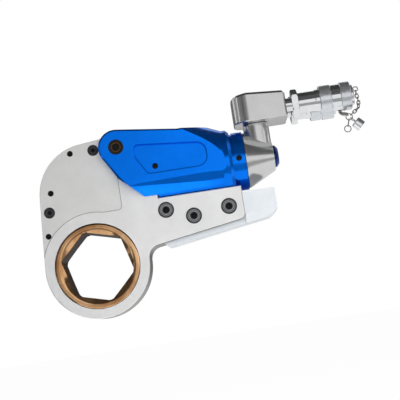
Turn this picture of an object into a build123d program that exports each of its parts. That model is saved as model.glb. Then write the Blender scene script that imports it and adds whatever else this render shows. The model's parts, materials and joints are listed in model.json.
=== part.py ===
from build123d import *
import os
from math import acos, atan2, cos, degrees, hypot, radians, sin, tan

# Low profile hydraulic torque wrench.
# X runs along the cylinder from the socket side to the hose side, Y runs through the thickness
# and Z is up.  The origin is the centre of the hexagon socket, half way through the thickness.
# Lengths are millimetres and angles are degrees.  The piston stands drawn back at rest.

# Clearances
running_gap = 0.05
seat_gap = 0.1
moving_gap = 0.25
joint_gap = 0.3
cut_overrun = 1.0
cut_reach = 300.0

# Cassette plates
cassette_thickness = 42.0
side_plate_thickness = 8.0
cover_thickness = 3.0
cover_seam_gap = 0.2
lobe_radius = 48.0
lobe_x = 3.0
lobe_z = 68.0
link_x = 33.4
link_z = 106.5
link_lug_radius = 13.0
tail_slope = 8.6
tail_edge_height = 2.6
tail_end_x = 143.4
tail_top_z = 54.5
tail_corner_radius = 6.0
tail_notch_radius = 11.5
plate_edge_break = 0.6
cover_seam_step = 1.5
cover_right_x = 30.3
cover_corner_radius = 4.0
band_wall = 4.5
band_end_x = 64.3
band_top_end_x = 27.0
throat_top_z = 100.0
throat_gap = 1.0
throat_corner_radius = 6.0

# Hexagon socket and ratchet
socket_across_flats = 60.0
socket_turn = -15.0
socket_lead_in = 2.8
socket_mouth_radius = 34.9
socket_mouth_angle = 60.0
hub_radius = 40.0
hub_edge_break = 0.8
tooth_count = 36
tooth_tip_radius = 44.2
tooth_height = 2.4
tooth_width = 17.6
tooth_tip_gap = 0.3

# Drive lever, its pin and the shoe
lever_plate_thickness = 3.5
lever_ring_wall = 4.0
guide_to_rod_gap = 4.3
drive_pin_radius = 6.0
lever_head_radius = 11.0
lever_arm_foot_radius = 26.0
lever_swing = 24.0
shoe_top_radius = 53.0
shoe_half_width = 11.0
shoe_lift = 2.6
shoe_root_radius = 40.0
shoe_mesh_gap = 0.1
shoe_lift_steps = 6
guide_leg_width = 4.0
guide_foot_gap = 2.0
guide_roof_gap = 1.9
guide_roof_wall = 3.5
spring_pocket_depth = 3.0
shoe_spring_radius = 3.0
shoe_spring_wire = 0.5
shoe_spring_spread = 5.5
shoe_spring_turns = 3

# Holding pawl and its release pin
pawl_x = -34.5
pawl_z = 33.5
pawl_pin_radius = 1.8
pawl_pin_seat = 2.0
pawl_hub_radius = 3.0
pawl_tip_angle = 150.0
pawl_tip_radius = 1.2
pawl_tip_stand_off = 0.2
pawl_tail_length = 6.0
pawl_tail_radius = 2.6
pawl_width = 16.0
pawl_spring_z = 24.5
pawl_spring_length = 4.8
pawl_spring_radius = 1.8
pawl_spring_wire = 0.35
pawl_spring_pocket = 2.4
pawl_spring_turns = 4
release_pin_radius = 2.2
release_nose_radius = 1.4
release_nose_length = 2.5
release_nose_round = 1.2
release_pin_proud = 2.2
release_pin_edge_break = 0.6
release_pin_tail_gap = 0.2
release_collar_radius = 2.8
release_collar_length = 1.0

# Reaction arm
arm_proud = 5.2
arm_left_x = 64.5
arm_end_x = 174.0
foot_left_x = 143.5
foot_top_z = 48.5
foot_bevel_width = 8.0
foot_bevel_height = 6.5
foot_heel_length = 7.0
foot_edge_radius = 2.0

# Power head
ear_half_width = 31.5
ear_end_radius = 16.7
ear_slot_gap = 0.15
ear_knee_x = 31.7
ear_knee_drop = 2.6
ear_heel_x = 53.0
head_bottom_drop = 21.9
head_top_rise = 35.9
head_shoulder_x = 92.0
bevel_left_x = 40.0
bevel_left_top_drop = 9.9
bevel_left_seam_drop = 11.7
bevel_left_seam_half_width = 31.0
bevel_left_foot_half_width = 21.8
bevel_right_top_drop = 8.3
bevel_right_seam_drop = 18.5
bevel_right_seam_half_width = 28.4
bevel_right_foot_half_width = 25.3
barrel_radius = 31.5
barrel_left_x = 66.0
cone_half_angle = 23.0
cone_end_radius = 28.6
cone_end_x = 139.2
neck_radius = 26.8
collar_left_x = 141.2
collar_radius = 27.8
collar_right_x = 151.5
collar_hole_radius = 2.8
collar_hole_depth = 3.0
collar_hole_x = 145.4
pocket_depth = 4.5
pocket_left_x = 49.5
pocket_right_x = 116.0
pocket_left_rise = 26.6
pocket_right_rise = 19.6
pocket_bottom_drop = 1.8
pocket_foot_x = 60.0
pocket_knee_rise = 15.6
pocket_corner_radius = 4.0
pocket_end_radius = 9.0
pocket_hole_x = 67.0
pocket_hole_rise = 4.5
pocket_hole_radius = 2.8
pocket_hole_depth = 3.0

# Cylinder, piston and rod
bore_radius = 18.5
bore_left_x = 84.0
piston_length = 14.0
piston_right_x = 142.5
piston_groove_width = 4.0
piston_groove_depth = 2.5
rod_radius = 9.0
rod_spigot_step = 3.0
rod_eye_half_length = 10.5
rod_eye_half_height = 12.0
rod_eye_corner_radius = 5.25
rod_slot_rise = 1.4
bush_radius = 12.0
bush_length = 11.0
rod_seal_length = 3.5
head_flange_radius = 22.0
head_flange_left_x = 146.0
head_spigot_left_x = 143.0
head_groove_x = 144.5
head_ring_wire = 1.1

# Swivel cap with its post
stem_radius = 9.5
stem_thread_radius = 6.0
stem_thread_length = 2.6
stem_nut_radius = 10.5
stem_nut_rim = 1.6
stem_nut_face_radius = 7.3
stem_nut_length = 4.2
cap_left_x = 151.9
cap_right_x = 179.0
cap_large_radius = 26.4
cap_small_radius = 13.4
cap_rim_length = 1.2
post_x = 166.4
post_radius = 12.3
post_top_rise = 32.8
spigot_radius = 7.5

# Swivel block
block_left_x = 146.0
block_ridge_x = 161.0
block_right_x = 197.0
block_half_width = 26.0
block_ridge_height = 27.5
block_nose_slope = 5.0
block_top_slope = 4.8
block_nose_radius = 16.0
block_corner_radius = 3.0
block_top_bevel = 2.3
block_foot_bevel = 0.8
bevel_angle = 45.0
screw_head_radius = 10.0
screw_head_height = 3.0
screw_key_depth = 1.5
screw_top_rise = 24.5
screw_shank_radius = 3.0
screw_shank_length = 9.0
screw_key_across_flats = 5.0

# Nipples and couplers
port_spacing = 36.0
port_rise = 10.9
nipple_radius = 6.2
nipple_bore_radius = 3.0
nipple_left_x = 186.0
nipple_right_x = 214.0
nut_left_x = 202.3
nut_right_x = 208.3
nut_across_flats = 24.0
nut_corner_break = 1.0
coupler_left_x = 208.6
coupler_neck_radius = 9.6
coupler_shoulder_length = 1.0
coupler_core_radius = 10.2
coupler_core_overlap = 3.7
coupler_socket_radius = 6.0
coupler_socket_depth = 18.5
sleeve_left_x = (228.6, 221.0)
sleeve_neck_length = 4.2
sleeve_ring_length = (11.4, 10.3)
sleeve_ring_radius = 13.0
sleeve_waist_radius = 12.2
sleeve_waist_length = (8.2, 0.8)
sleeve_grip_radius = 13.4
sleeve_grip_length = (10.0, 11.8)
sleeve_edge_break = 0.8
plug_disc_radius = 9.6
plug_disc_length = 2.4
plug_shank_radius = 5.9
plug_shank_length = 16.0

# Chain, ring and dangling cap
eye_inner_radius = 1.5
eye_wire_radius = 0.7
eye_stand_off = 3.0
eye_rise = (5.0, -5.0)
chain_slack = 0.3
link_length = 5.6
link_width = 3.8
link_wire_radius = 0.5
junction_ring_radius = 3.0
junction_x = 253.4
junction_y = -23.0
junction_drop = 21.0
front_chain_bends = [(264.6, -18.6, 118.0), (263.4, -20.8, 110.6)]
rear_chain_bends = [(249.6, 2.0, 110.8)]
ring_radius = 3.0
ring_link_length = 8.4
ring_link_tilt = 106.0
dangling_cap_radius = 5.2
dangling_cap_length = 7.6
dangling_cap_wall = 1.2
dangling_cap_tilt = 46.0

# Screws and dowels
plate_screw_places = [(70.8, 42.3), (95.8, 33.1), (129.5, 37.0)]
plate_screw_head_radius = 7.5
plate_screw_shank_radius = 4.0
plate_screw_length = 17.0
plate_screw_key = 5.0
cover_screw_places = [(10.9, 108.3), (-37.7, 55.9)]
cover_screw_head_radius = 5.0
cover_screw_shank_radius = 2.5
cover_screw_length = 7.5
cover_screw_key = 3.0
screw_rim = 0.8
key_depth_share = 0.5
dowel_places = [(-11.0, 108.4), (-34.0, 73.9), (-41.5, 34.0)]
dowel_radius = 2.5
dowel_recess = 0.5
link_bolt_radius = 5.0
link_head_radius = 7.1
link_head_depth = 4.0
link_key = 6.0
link_thread_radius = 3.0
link_thread_length = 3.0

# Derived places
half = cassette_thickness / 2
inner_half = half - side_plate_thickness
cover_inner = half - cover_thickness
lever_outer = inner_half - moving_gap
lever_inner = lever_outer - lever_plate_thickness
lever_ring_radius = hub_radius + lever_ring_wall
nose_radius = tooth_tip_radius + tooth_tip_gap + band_wall
cover_seam_radius = nose_radius + cover_seam_step
guide_foot_height = tooth_tip_radius + guide_foot_gap
guide_roof_height = shoe_top_radius + shoe_lift + guide_roof_gap
guide_top_height = guide_roof_height + spring_pocket_depth + guide_roof_wall
drive_pin_distance = guide_top_height + guide_to_rod_gap + rod_eye_half_height
rest_turn = lever_swing / 2
drive_pin_rest_x = drive_pin_distance * sin(radians(rest_turn))
drive_pin_rest_z = drive_pin_distance * cos(radians(rest_turn))
head_axis_z = (drive_pin_distance + drive_pin_rest_z) / 2
throat_right_x = barrel_left_x - throat_gap
arm_top_z = head_axis_z - barrel_radius - joint_gap
slope = tan(radians(tail_slope))
release_pin_z = pawl_z + pawl_tail_length
back_span = hypot(lobe_x, lobe_z)
back_angle = degrees(atan2(lobe_z, lobe_x) + acos((nose_radius - lobe_radius) / back_span))
head_bottom_z = head_axis_z - head_bottom_drop
link_head_face = ear_half_width
link_head_floor = ear_half_width - link_head_depth
rod_spigot_radius = rod_radius - rod_spigot_step
stem_end_x = cap_right_x + joint_gap
post_top_z = head_axis_z + post_top_rise
block_bottom_z = post_top_z + joint_gap
screw_top_z = block_bottom_z + screw_top_rise
spigot_top_z = screw_top_z - screw_head_height
port_z = block_bottom_z + port_rise
port_places = (-port_spacing / 2, port_spacing / 2)
sides = (0, 1)
sleeve_right_x = [
    sleeve_left_x[side]
    + sleeve_ring_length[side]
    + sleeve_waist_length[side]
    + sleeve_grip_length[side]
    for side in sides
]
plug_right_x = [sleeve_right_x[side] + joint_gap + plug_disc_length for side in sides]
eye_places = [
    Vector(plug_right_x[side] + eye_stand_off, port_places[side], port_z + eye_rise[side])
    for side in sides
]
chain_bends = (front_chain_bends, rear_chain_bends)
link_pitch = link_length - 4 * link_wire_radius - chain_slack
link_inner_reach = link_length / 2 - 2 * link_wire_radius
junction = Vector(junction_x, junction_y, port_z - junction_drop)


def tail_edge(x):
    """Height of the plates' sloping lower edge at x."""
    return tail_edge_height + slope * x


def back_x(z, depth=0.0):
    """X of the cassette's straight back at height z, or of a line that deep inside it."""
    return (nose_radius - depth - z * sin(radians(back_angle))) / cos(radians(back_angle))


def slab(sketch, near, far):
    """Solid of an outline drawn in X and Z, from Y = near to Y = far."""
    return extrude(Plane.XZ.offset(-far) * sketch, far - near)


def turned(points, y=0.0, z=0.0):
    """Solid of revolution about a line along X from its (x, radius) points."""
    return Pos(0, y, z) * revolve(Plane.XZ * Polygon(*points, align=None), Axis.X)


def rod_x(radius, left, right, y=0.0, z=0.0):
    """Cylinder along X."""
    stock = Cylinder(radius, right - left, align=(Align.CENTER, Align.CENTER, Align.MIN))
    return Pos(left, y, z) * Rot(0, 90, 0) * stock


def rod_y(radius, near, far, x=0.0, z=0.0):
    """Cylinder along Y."""
    stock = Cylinder(radius, far - near, align=(Align.CENTER, Align.CENTER, Align.MIN))
    return Pos(x, near, z) * Rot(-90, 0, 0) * stock


def rod_z(radius, low, high, x=0.0, y=0.0):
    """Cylinder along Z."""
    stock = Cylinder(radius, high - low, align=(Align.CENTER, Align.CENTER, Align.MIN))
    return Pos(x, y, low) * stock


def polar(radius, angle):
    """Point in X and Z at an angle measured from +X towards +Z."""
    return (radius * cos(radians(angle)), radius * sin(radians(angle)))


def both_sides(shape):
    """A front piece and its mirror image on the rear."""
    return [shape, mirror(shape, about=Plane.XZ)]


def group(shapes):
    """Separate solids kept in one piece list."""
    solids = []
    for shape in shapes:
        solids.extend(shape.solids())
    return Compound(solids)


def socket_screw(head_radius, shank_radius, length, key):
    """Countersunk screw with a hexagon key socket, its head's top at Z = 0."""
    cone_end = screw_rim + head_radius - shank_radius
    profile = Polygon(
        (0, 0),
        (head_radius, 0),
        (head_radius, -screw_rim),
        (shank_radius, -cone_end),
        (shank_radius, -length),
        (0, -length),
        align=None,
    )
    screw = revolve(Plane.XZ * profile, Axis.Z)
    key_depth = key * key_depth_share
    key_hole = extrude(RegularPolygon(key / 2, 6, major_radius=False), -key_depth)
    return screw - key_hole


def countersink(head_radius, shank_radius, length):
    """Room for a countersunk screw with its top at Z = 0."""
    wide = head_radius + seat_gap
    narrow = shank_radius + seat_gap
    profile = Polygon(
        (0, cut_overrun),
        (wide, cut_overrun),
        (wide, -screw_rim),
        (narrow, -screw_rim - wide + narrow),
        (narrow, -length - seat_gap),
        (0, -length - seat_gap),
        align=None,
    )
    return revolve(Plane.XZ * profile, Axis.Z)


def on_front(shape, x, z, y=-half):
    """Stand a piece that was drawn along Z on the front face, pointing out."""
    return Plane(origin=(x, y, z), x_dir=(1, 0, 0), z_dir=(0, -1, 0)) * shape


# Cassette

def cassette_outline():
    """Nose, lobe and link lug in one hull, with the throat under the ears and the sloping tail."""
    rounds = Circle(nose_radius).edges()
    rounds += (Pos(lobe_x, lobe_z) * Circle(lobe_radius)).edges()
    rounds += (Pos(link_x, link_z) * Circle(link_lug_radius)).edges()
    body = make_hull(rounds)
    tail = Polygon(
        (0, tail_edge(0)),
        (tail_end_x, tail_edge(tail_end_x)),
        (tail_end_x, tail_top_z),
        (throat_right_x, tail_top_z),
        (throat_right_x, throat_top_z),
        (0, throat_top_z),
        align=None,
    )
    outline = body + tail
    notch = outline.vertices().sort_by_distance((nose_radius, tail_edge(nose_radius)))[0]
    outline = fillet(notch, tail_notch_radius)
    upper = outline.vertices().sort_by_distance((throat_right_x, throat_top_z))[0]
    outline = fillet(upper, throat_corner_radius)
    corner = outline.vertices().sort_by_distance((tail_end_x, tail_edge(tail_end_x)))[0]
    return fillet(corner, tail_corner_radius)


def cover_outline(outline):
    """The part of the outline above the seam round the nose and left of the head."""
    right_block = Pos(cover_right_x, 0) * Rectangle(
        cut_reach, cut_reach, align=(Align.MIN, Align.CENTER)
    )
    low_block = Rectangle(cut_reach, 2 * nose_radius, align=(Align.MIN, Align.CENTER))
    cover = outline - Circle(cover_seam_radius) - right_block - low_block
    corner = cover.vertices().sort_by_distance((cover_right_x, nose_radius))[0]
    return fillet(corner, cover_corner_radius)


def side_plate(outline, cover):
    """Front side plate with its recess for the cover and all holes."""
    plate = slab(outline, -half, -inner_half)
    rim = plate.faces().sort_by(Axis.Y)[0].outer_wire().edges()
    plate = chamfer(rim, plate_edge_break)
    plate -= slab(offset(cover, cover_seam_gap), -half, -cover_inner)
    plate -= rod_y(hub_radius + running_gap, -half, -inner_half)
    plate -= rod_x(barrel_radius + joint_gap, throat_right_x, arm_end_x, z=head_axis_z)
    for x, z in plate_screw_places:
        room = countersink(plate_screw_head_radius, plate_screw_shank_radius, plate_screw_length)
        plate -= on_front(room, x, z)
    for x, z in cover_screw_places:
        room = countersink(cover_screw_head_radius, cover_screw_shank_radius, cover_screw_length)
        plate -= on_front(room, x, z)
    for x, z in dowel_places:
        plate -= rod_y(dowel_radius + seat_gap, -half, -inner_half, x, z)
    pin_seat = -inner_half - pawl_pin_seat
    plate -= rod_y(pawl_pin_radius + running_gap, pin_seat, -inner_half, pawl_x, pawl_z)
    plate -= rod_y(link_bolt_radius + seat_gap, -half, -inner_half, link_x, link_z)
    return plate


def cover_plate(cover):
    """Inlaid cover with its screw and dowel holes."""
    plate = slab(cover, -half, -cover_inner - running_gap)
    for x, z in cover_screw_places:
        room = countersink(cover_screw_head_radius, cover_screw_shank_radius, cover_screw_length)
        plate -= on_front(room, x, z)
    for x, z in dowel_places:
        plate -= rod_y(dowel_radius + seat_gap, -half, -inner_half, x, z)
    return plate - rod_y(link_bolt_radius + seat_gap, -half, -inner_half, link_x, link_z)


def nose_band(outline):
    """Wall between the plates, open behind the tail and under the head."""
    inner = offset(outline, -band_wall)
    tail_block = Pos(band_end_x, 0) * Rectangle(
        cut_reach, cut_reach, align=(Align.MIN, Align.CENTER)
    )
    head_block = Pos(band_top_end_x, tail_edge(band_end_x) + band_wall) * Rectangle(
        cut_reach, cut_reach, align=(Align.MIN, Align.MIN)
    )
    wall = outline - inner - tail_block - head_block
    band = slab(wall, -inner_half + running_gap, inner_half - running_gap)
    for x, z in dowel_places:
        band -= rod_y(dowel_radius + seat_gap, -half, half, x, z)
    band -= rod_x(release_pin_radius + running_gap, -cut_reach, pawl_x, z=release_pin_z)
    wall_x = back_x(pawl_spring_z, band_wall)
    pocket_radius = pawl_spring_radius + seat_gap
    band -= rod_x(pocket_radius, wall_x - pawl_spring_pocket, pawl_x, z=pawl_spring_z)
    return band


def dowels():
    """Three dowels that line up the plates."""
    near = -half + dowel_recess
    return [rod_y(dowel_radius, near, -near, x, z) for x, z in dowel_places]


def plate_screws():
    """Large screws through both plates into the reaction arm."""
    screw = socket_screw(
        plate_screw_head_radius, plate_screw_shank_radius, plate_screw_length, plate_screw_key
    )
    screws = []
    for x, z in plate_screw_places:
        screws += both_sides(on_front(screw, x, z))
    return screws


def cover_screws():
    """Small screws that hold the covers."""
    screw = socket_screw(
        cover_screw_head_radius, cover_screw_shank_radius, cover_screw_length, cover_screw_key
    )
    screws = []
    for x, z in cover_screw_places:
        screws += both_sides(on_front(screw, x, z))
    return screws


def reaction_arm():
    """Bar between the plates with the wide foot block that takes the reaction."""
    bar_edge = tail_edge(arm_left_x) - arm_proud
    foot_heel_x = arm_end_x - foot_heel_length
    bar = Polygon(
        (arm_left_x, tail_edge(arm_left_x)),
        (arm_left_x + arm_proud, bar_edge + slope * arm_proud),
        (foot_heel_x, tail_edge(foot_heel_x) - arm_proud),
        (arm_end_x, tail_edge(arm_end_x)),
        (arm_end_x, foot_top_z),
        (foot_left_x, foot_top_z),
        (foot_left_x, arm_top_z),
        (arm_left_x, arm_top_z),
        align=None,
    )
    arm = slab(bar, -inner_half + running_gap, inner_half - running_gap)
    foot = Polygon(
        (foot_left_x, tail_edge(foot_left_x) - arm_proud),
        (foot_heel_x, tail_edge(foot_heel_x) - arm_proud),
        (arm_end_x, tail_edge(arm_end_x)),
        (arm_end_x, foot_top_z),
        (foot_left_x, foot_top_z),
        align=None,
    )
    block = slab(foot, -half, half)
    low_edges = block.faces().sort_by(Axis.Z)[0].edges().filter_by(GeomType.LINE)
    side_edges = ShapeList(edge for edge in low_edges if abs(edge.center().Y) > inner_half)
    block = chamfer(side_edges, foot_bevel_height, foot_bevel_width)
    top_edges = block.faces().sort_by(Axis.X)[-1].edges().sort_by(Axis.Z)[-1]
    block = fillet(top_edges, foot_edge_radius)
    arm += block
    for x, z in plate_screw_places:
        room = countersink(plate_screw_head_radius, plate_screw_shank_radius, plate_screw_length)
        for hole in both_sides(on_front(room, x, z)):
            arm -= hole
    return arm


# Ratchet, holding pawl and release pin

def tooth_points(phase):
    """Outline of the ratchet, each tooth steep on its clockwise side."""
    pitch = 360 / tooth_count
    points = []
    for tooth in range(tooth_count):
        start = phase + tooth * pitch
        points.append(polar(tooth_tip_radius - tooth_height, start))
        points.append(polar(tooth_tip_radius, start))
    return points


def ratchet_profile():
    """Ratchet outline with the lever standing upright."""
    return Polygon(*tooth_points(90.0), align=None)


def ratchet_wheel():
    """Hub that turns in the side plates, with the teeth in its middle and the hexagon socket."""
    wheel = rod_y(hub_radius, -half, half)
    wheel = chamfer(wheel.edges().filter_by(GeomType.CIRCLE), hub_edge_break)
    wheel += at_rest(slab(ratchet_profile(), -tooth_width / 2, tooth_width / 2))
    hexagon = RegularPolygon(socket_across_flats / 2, 6, major_radius=False, rotation=socket_turn)
    wheel -= slab(hexagon, -half, half)
    for sign in (-1, 1):
        mouth = Cone(
            socket_mouth_radius - socket_lead_in * tan(radians(socket_mouth_angle)),
            socket_mouth_radius,
            socket_lead_in,
            align=(Align.CENTER, Align.CENTER, Align.MAX),
        )
        wheel -= Pos(0, sign * half, 0) * Rot(-90 * sign, 0, 0) * mouth
    return wheel


def holding_pawl():
    """Pawl that rests on a tooth tip, its tail behind the release pin."""
    tip_x, tip_z = polar(tooth_tip_radius + pawl_tip_stand_off + pawl_tip_radius, pawl_tip_angle)
    hub = Pos(pawl_x, pawl_z) * Circle(pawl_hub_radius)
    tip = Pos(tip_x, tip_z) * Circle(pawl_tip_radius)
    tail = Pos(pawl_x, pawl_z + pawl_tail_length) * Circle(pawl_tail_radius)
    outline = make_hull(hub.edges() + tip.edges()) + make_hull(hub.edges() + tail.edges())
    pawl = slab(outline, -pawl_width / 2, pawl_width / 2)
    return pawl - rod_y(pawl_pin_radius + running_gap, -half, half, pawl_x, pawl_z)


def pawl_pin():
    """Pivot of the holding pawl, seated in both plates."""
    end = inner_half + pawl_pin_seat - seat_gap
    return rod_y(pawl_pin_radius, -end, end, pawl_x, pawl_z)


def coil(radius, wire, length, turns):
    """Round wire compression spring along Z from 0 to its length."""
    rise = length - 2 * wire
    path = Helix(pitch=rise / turns, height=rise, radius=radius - wire)
    start = Plane(origin=path @ 0, z_dir=path % 0)
    return Pos(0, 0, wire) * sweep(start * Circle(wire), path=path)


def pawl_spring():
    """Spring in the band's pocket that presses the pawl on the teeth."""
    left = back_x(pawl_spring_z, band_wall) - pawl_spring_pocket
    spring = coil(pawl_spring_radius, pawl_spring_wire, pawl_spring_length, pawl_spring_turns)
    return Pos(left, 0, pawl_spring_z) * Rot(0, 90, 0) * spring


def release_pin():
    """Push pin at the back whose nose moves the pawl's tail."""
    left = back_x(release_pin_z) - release_pin_proud
    right = pawl_x - pawl_tail_radius - release_pin_tail_gap
    shoulder = right - release_nose_length
    pin = rod_x(release_pin_radius, left, shoulder, z=release_pin_z)
    pin = chamfer(pin.edges().sort_by(Axis.X)[0], release_pin_edge_break)
    nose = rod_x(release_nose_radius, shoulder, right, z=release_pin_z)
    pin += fillet(nose.edges().sort_by(Axis.X)[-1], release_nose_round)
    collar_left = back_x(release_pin_z + release_collar_radius, band_wall) + moving_gap
    collar_right = collar_left + release_collar_length
    return pin + rod_x(release_collar_radius, collar_left, collar_right, z=release_pin_z)


# Drive lever and shoe

def at_rest(shape):
    """Turn a piece drawn with the lever upright to the lever's rest place."""
    return Rot(0, rest_turn, 0) * shape


def lever_plate():
    """Front lever plate: ring round the hub and arm up to the drive pin."""
    head = Pos(0, drive_pin_distance) * Circle(lever_head_radius)
    arm = make_hull(Circle(lever_arm_foot_radius).edges() + head.edges())
    outline = arm + Circle(lever_ring_radius) - Circle(hub_radius + running_gap)
    plate = slab(outline, -lever_outer, -lever_inner)
    plate -= rod_y(drive_pin_radius + running_gap, -half, half, z=drive_pin_distance)
    return at_rest(plate)


def drive_pin():
    """Pin between the lever plates that the rod pushes."""
    return at_rest(rod_y(drive_pin_radius, -lever_outer, lever_outer, z=drive_pin_distance))


def shoe_guide():
    """Bridge between the lever plates that guides the shoe and seats its springs."""
    inner = shoe_half_width + moving_gap
    outer = inner + guide_leg_width
    roof = Polygon(
        (-outer, guide_foot_height),
        (-inner, guide_foot_height),
        (-inner, guide_roof_height),
        (inner, guide_roof_height),
        (inner, guide_foot_height),
        (outer, guide_foot_height),
        (outer, guide_top_height),
        (-outer, guide_top_height),
        align=None,
    )
    guide = slab(roof, -lever_inner + running_gap, lever_inner - running_gap)
    for sign in (-1, 1):
        low = guide_roof_height
        high = guide_roof_height + spring_pocket_depth
        guide -= rod_z(shoe_spring_radius + seat_gap, low, high, x=sign * shoe_spring_spread)
    return at_rest(guide)


def shoe_springs():
    """Two springs that press the shoe on the teeth."""
    length = guide_roof_height + spring_pocket_depth - shoe_top_radius
    spring = coil(shoe_spring_radius, shoe_spring_wire, length, shoe_spring_turns)
    return [
        at_rest(Pos(sign * shoe_spring_spread, 0, shoe_top_radius) * spring) for sign in (-1, 1)
    ]


def drive_shoe():
    """Toothed shoe, cut so that it clears the teeth all the way as it lifts."""
    stock = Pos(0, shoe_root_radius) * Rectangle(
        2 * shoe_half_width, shoe_top_radius - shoe_root_radius, align=(Align.CENTER, Align.MIN)
    )
    for step in range(shoe_lift_steps + 1):
        drop = shoe_lift * step / shoe_lift_steps
        for shift in (-shoe_mesh_gap, shoe_mesh_gap):
            stock -= Pos(shift, shoe_mesh_gap - drop) * ratchet_profile()
    width = lever_inner - moving_gap
    return at_rest(slab(stock, -width, width))


# Power head

def head_outline():
    """Ears, shoulder and barrel of the power head seen from the front."""
    rounds = (Pos(link_x, link_z) * Circle(ear_end_radius)).edges()
    corners = Polygon(
        (ear_knee_x, head_axis_z - ear_knee_drop),
        (ear_heel_x, head_bottom_z),
        (head_shoulder_x, head_bottom_z),
        (head_shoulder_x, head_axis_z + head_top_rise),
        align=None,
    )
    ears = make_hull(rounds + corners.edges())
    shoulder = Pos(head_shoulder_x, head_bottom_z) * Rectangle(
        cone_end_x - head_shoulder_x,
        head_bottom_drop + head_top_rise,
        align=(Align.MIN, Align.MIN),
    )
    return ears + shoulder


def pocket_outline():
    """Milled pocket in the ear's flat."""
    knee = (pocket_left_x, head_axis_z + pocket_knee_rise)
    foot = (pocket_foot_x, head_axis_z - pocket_bottom_drop)
    right_foot = (pocket_right_x, head_axis_z - pocket_bottom_drop)
    right_top = (pocket_right_x, head_axis_z + pocket_right_rise)
    left_top = (pocket_left_x, head_axis_z + pocket_left_rise)
    pocket = Polygon(knee, foot, right_foot, right_top, left_top, align=None)
    right = pocket.vertices().sort_by(Axis.X)[-2:]
    pocket = fillet(right, pocket_end_radius)
    for place in (knee, foot, left_top):
        corner = pocket.vertices().sort_by_distance(place)[0]
        pocket = fillet(corner, pocket_corner_radius)
    return pocket


def bevel_section(top_drop, seam_drop, seam_half_width, foot_half_width):
    """Cross section in Y and Z of what the two lower bevels of the front ear take away."""
    top = head_axis_z - top_drop
    return Polygon(
        (-ear_half_width, top),
        (-seam_half_width, head_axis_z - seam_drop),
        (-foot_half_width, head_bottom_z),
        (-ear_half_width - cut_overrun, head_bottom_z),
        (-ear_half_width - cut_overrun, top),
        align=None,
    )


def bevel_cut():
    """The upper bevel, which widens to the right, and the lower one, which narrows."""
    left = bevel_section(
        bevel_left_top_drop,
        bevel_left_seam_drop,
        bevel_left_seam_half_width,
        bevel_left_foot_half_width,
    )
    right = bevel_section(
        bevel_right_top_drop,
        bevel_right_seam_drop,
        bevel_right_seam_half_width,
        bevel_right_foot_half_width,
    )
    ends = [Plane.YZ.offset(bevel_left_x) * left, Plane.YZ.offset(cone_end_x) * right]
    return loft([end.face() for end in ends], ruled=True)


def power_head():
    """Cylinder with a flared shoulder, milled flat and forked to straddle the cassette."""
    left_x = link_x - ear_end_radius
    flare = cone_end_radius + (cone_end_x - left_x) * tan(radians(cone_half_angle))
    cone = turned(
        [(left_x, 0), (left_x, flare), (cone_end_x, cone_end_radius), (cone_end_x, 0)],
        z=head_axis_z,
    )
    head = slab(head_outline(), -ear_half_width, ear_half_width) & cone
    for cut in both_sides(bevel_cut()):
        head -= cut
    neck = turned(
        [
            (barrel_left_x, 0),
            (barrel_left_x, barrel_radius),
            (cone_end_x - (barrel_radius - cone_end_radius), barrel_radius),
            (cone_end_x, cone_end_radius),
            (cone_end_x, neck_radius),
            (collar_left_x, neck_radius),
            (collar_left_x, collar_radius),
            (collar_right_x, collar_radius),
            (collar_right_x, 0),
        ],
        z=head_axis_z,
    )
    head += neck
    slot_half = half + ear_slot_gap
    slot = Pos(barrel_left_x, 0, head_axis_z) * Box(
        cut_reach, 2 * slot_half, cut_reach, align=(Align.MAX, Align.CENTER, Align.CENTER)
    )
    head -= slot
    pocket = slab(pocket_outline(), -ear_half_width, -ear_half_width + pocket_depth)
    pocket_floor = -ear_half_width + pocket_depth
    pocket += rod_y(
        pocket_hole_radius,
        pocket_floor,
        pocket_floor + pocket_hole_depth,
        pocket_hole_x,
        head_axis_z + pocket_hole_rise,
    )
    room_radius = link_head_radius + seat_gap
    bolt_room = rod_y(room_radius, -ear_half_width, -link_head_floor, link_x, link_z)
    spanner_hole = rod_y(
        collar_hole_radius,
        -collar_radius,
        -collar_radius + collar_hole_depth,
        collar_hole_x,
        head_axis_z,
    )
    for cut in both_sides(pocket) + both_sides(bolt_room) + both_sides(spanner_hole):
        head -= cut
    head -= rod_y(link_bolt_radius + seat_gap, -ear_half_width, ear_half_width, link_x, link_z)
    gland_right = barrel_left_x + bush_length + rod_seal_length + 2 * moving_gap
    head -= rod_x(bush_radius + running_gap, barrel_left_x, gland_right, z=head_axis_z)
    head -= rod_x(rod_radius + moving_gap, barrel_left_x, bore_left_x, z=head_axis_z)
    head -= rod_x(bore_radius, bore_left_x, collar_right_x, z=head_axis_z)
    flange_room = head_flange_radius + running_gap
    return head - rod_x(flange_room, head_flange_left_x, collar_right_x, z=head_axis_z)


def link_bolt():
    """Bolt through both ears and the cassette, with a round key head."""
    bolt = rod_y(link_bolt_radius, -link_head_floor, link_head_floor, link_x, link_z)
    thread_end = link_head_floor + link_thread_length - seat_gap
    bolt += rod_y(link_thread_radius, link_head_floor, thread_end, link_x, link_z)
    return bolt + link_head()


def link_nut():
    """Round nut of the link bolt in the rear ear."""
    nut = mirror(link_head(), about=Plane.XZ)
    low = link_head_floor
    high = low + link_thread_length
    return nut - rod_y(link_thread_radius + running_gap, low, high, link_x, link_z)


def link_head():
    """Round head with a hexagon key socket in the front ear."""
    head = rod_y(link_head_radius, -link_head_face, -link_head_floor, link_x, link_z)
    key = extrude(RegularPolygon(link_key / 2, 6, major_radius=False), -link_key * key_depth_share)
    return head - on_front(key, link_x, link_z, -link_head_face)


def rod_bush():
    """Bronze guide bush of the rod."""
    bush = rod_x(bush_radius, barrel_left_x, barrel_left_x + bush_length, z=head_axis_z)
    return bush - rod_x(rod_radius + running_gap, 0, bore_left_x, z=head_axis_z)


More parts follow.
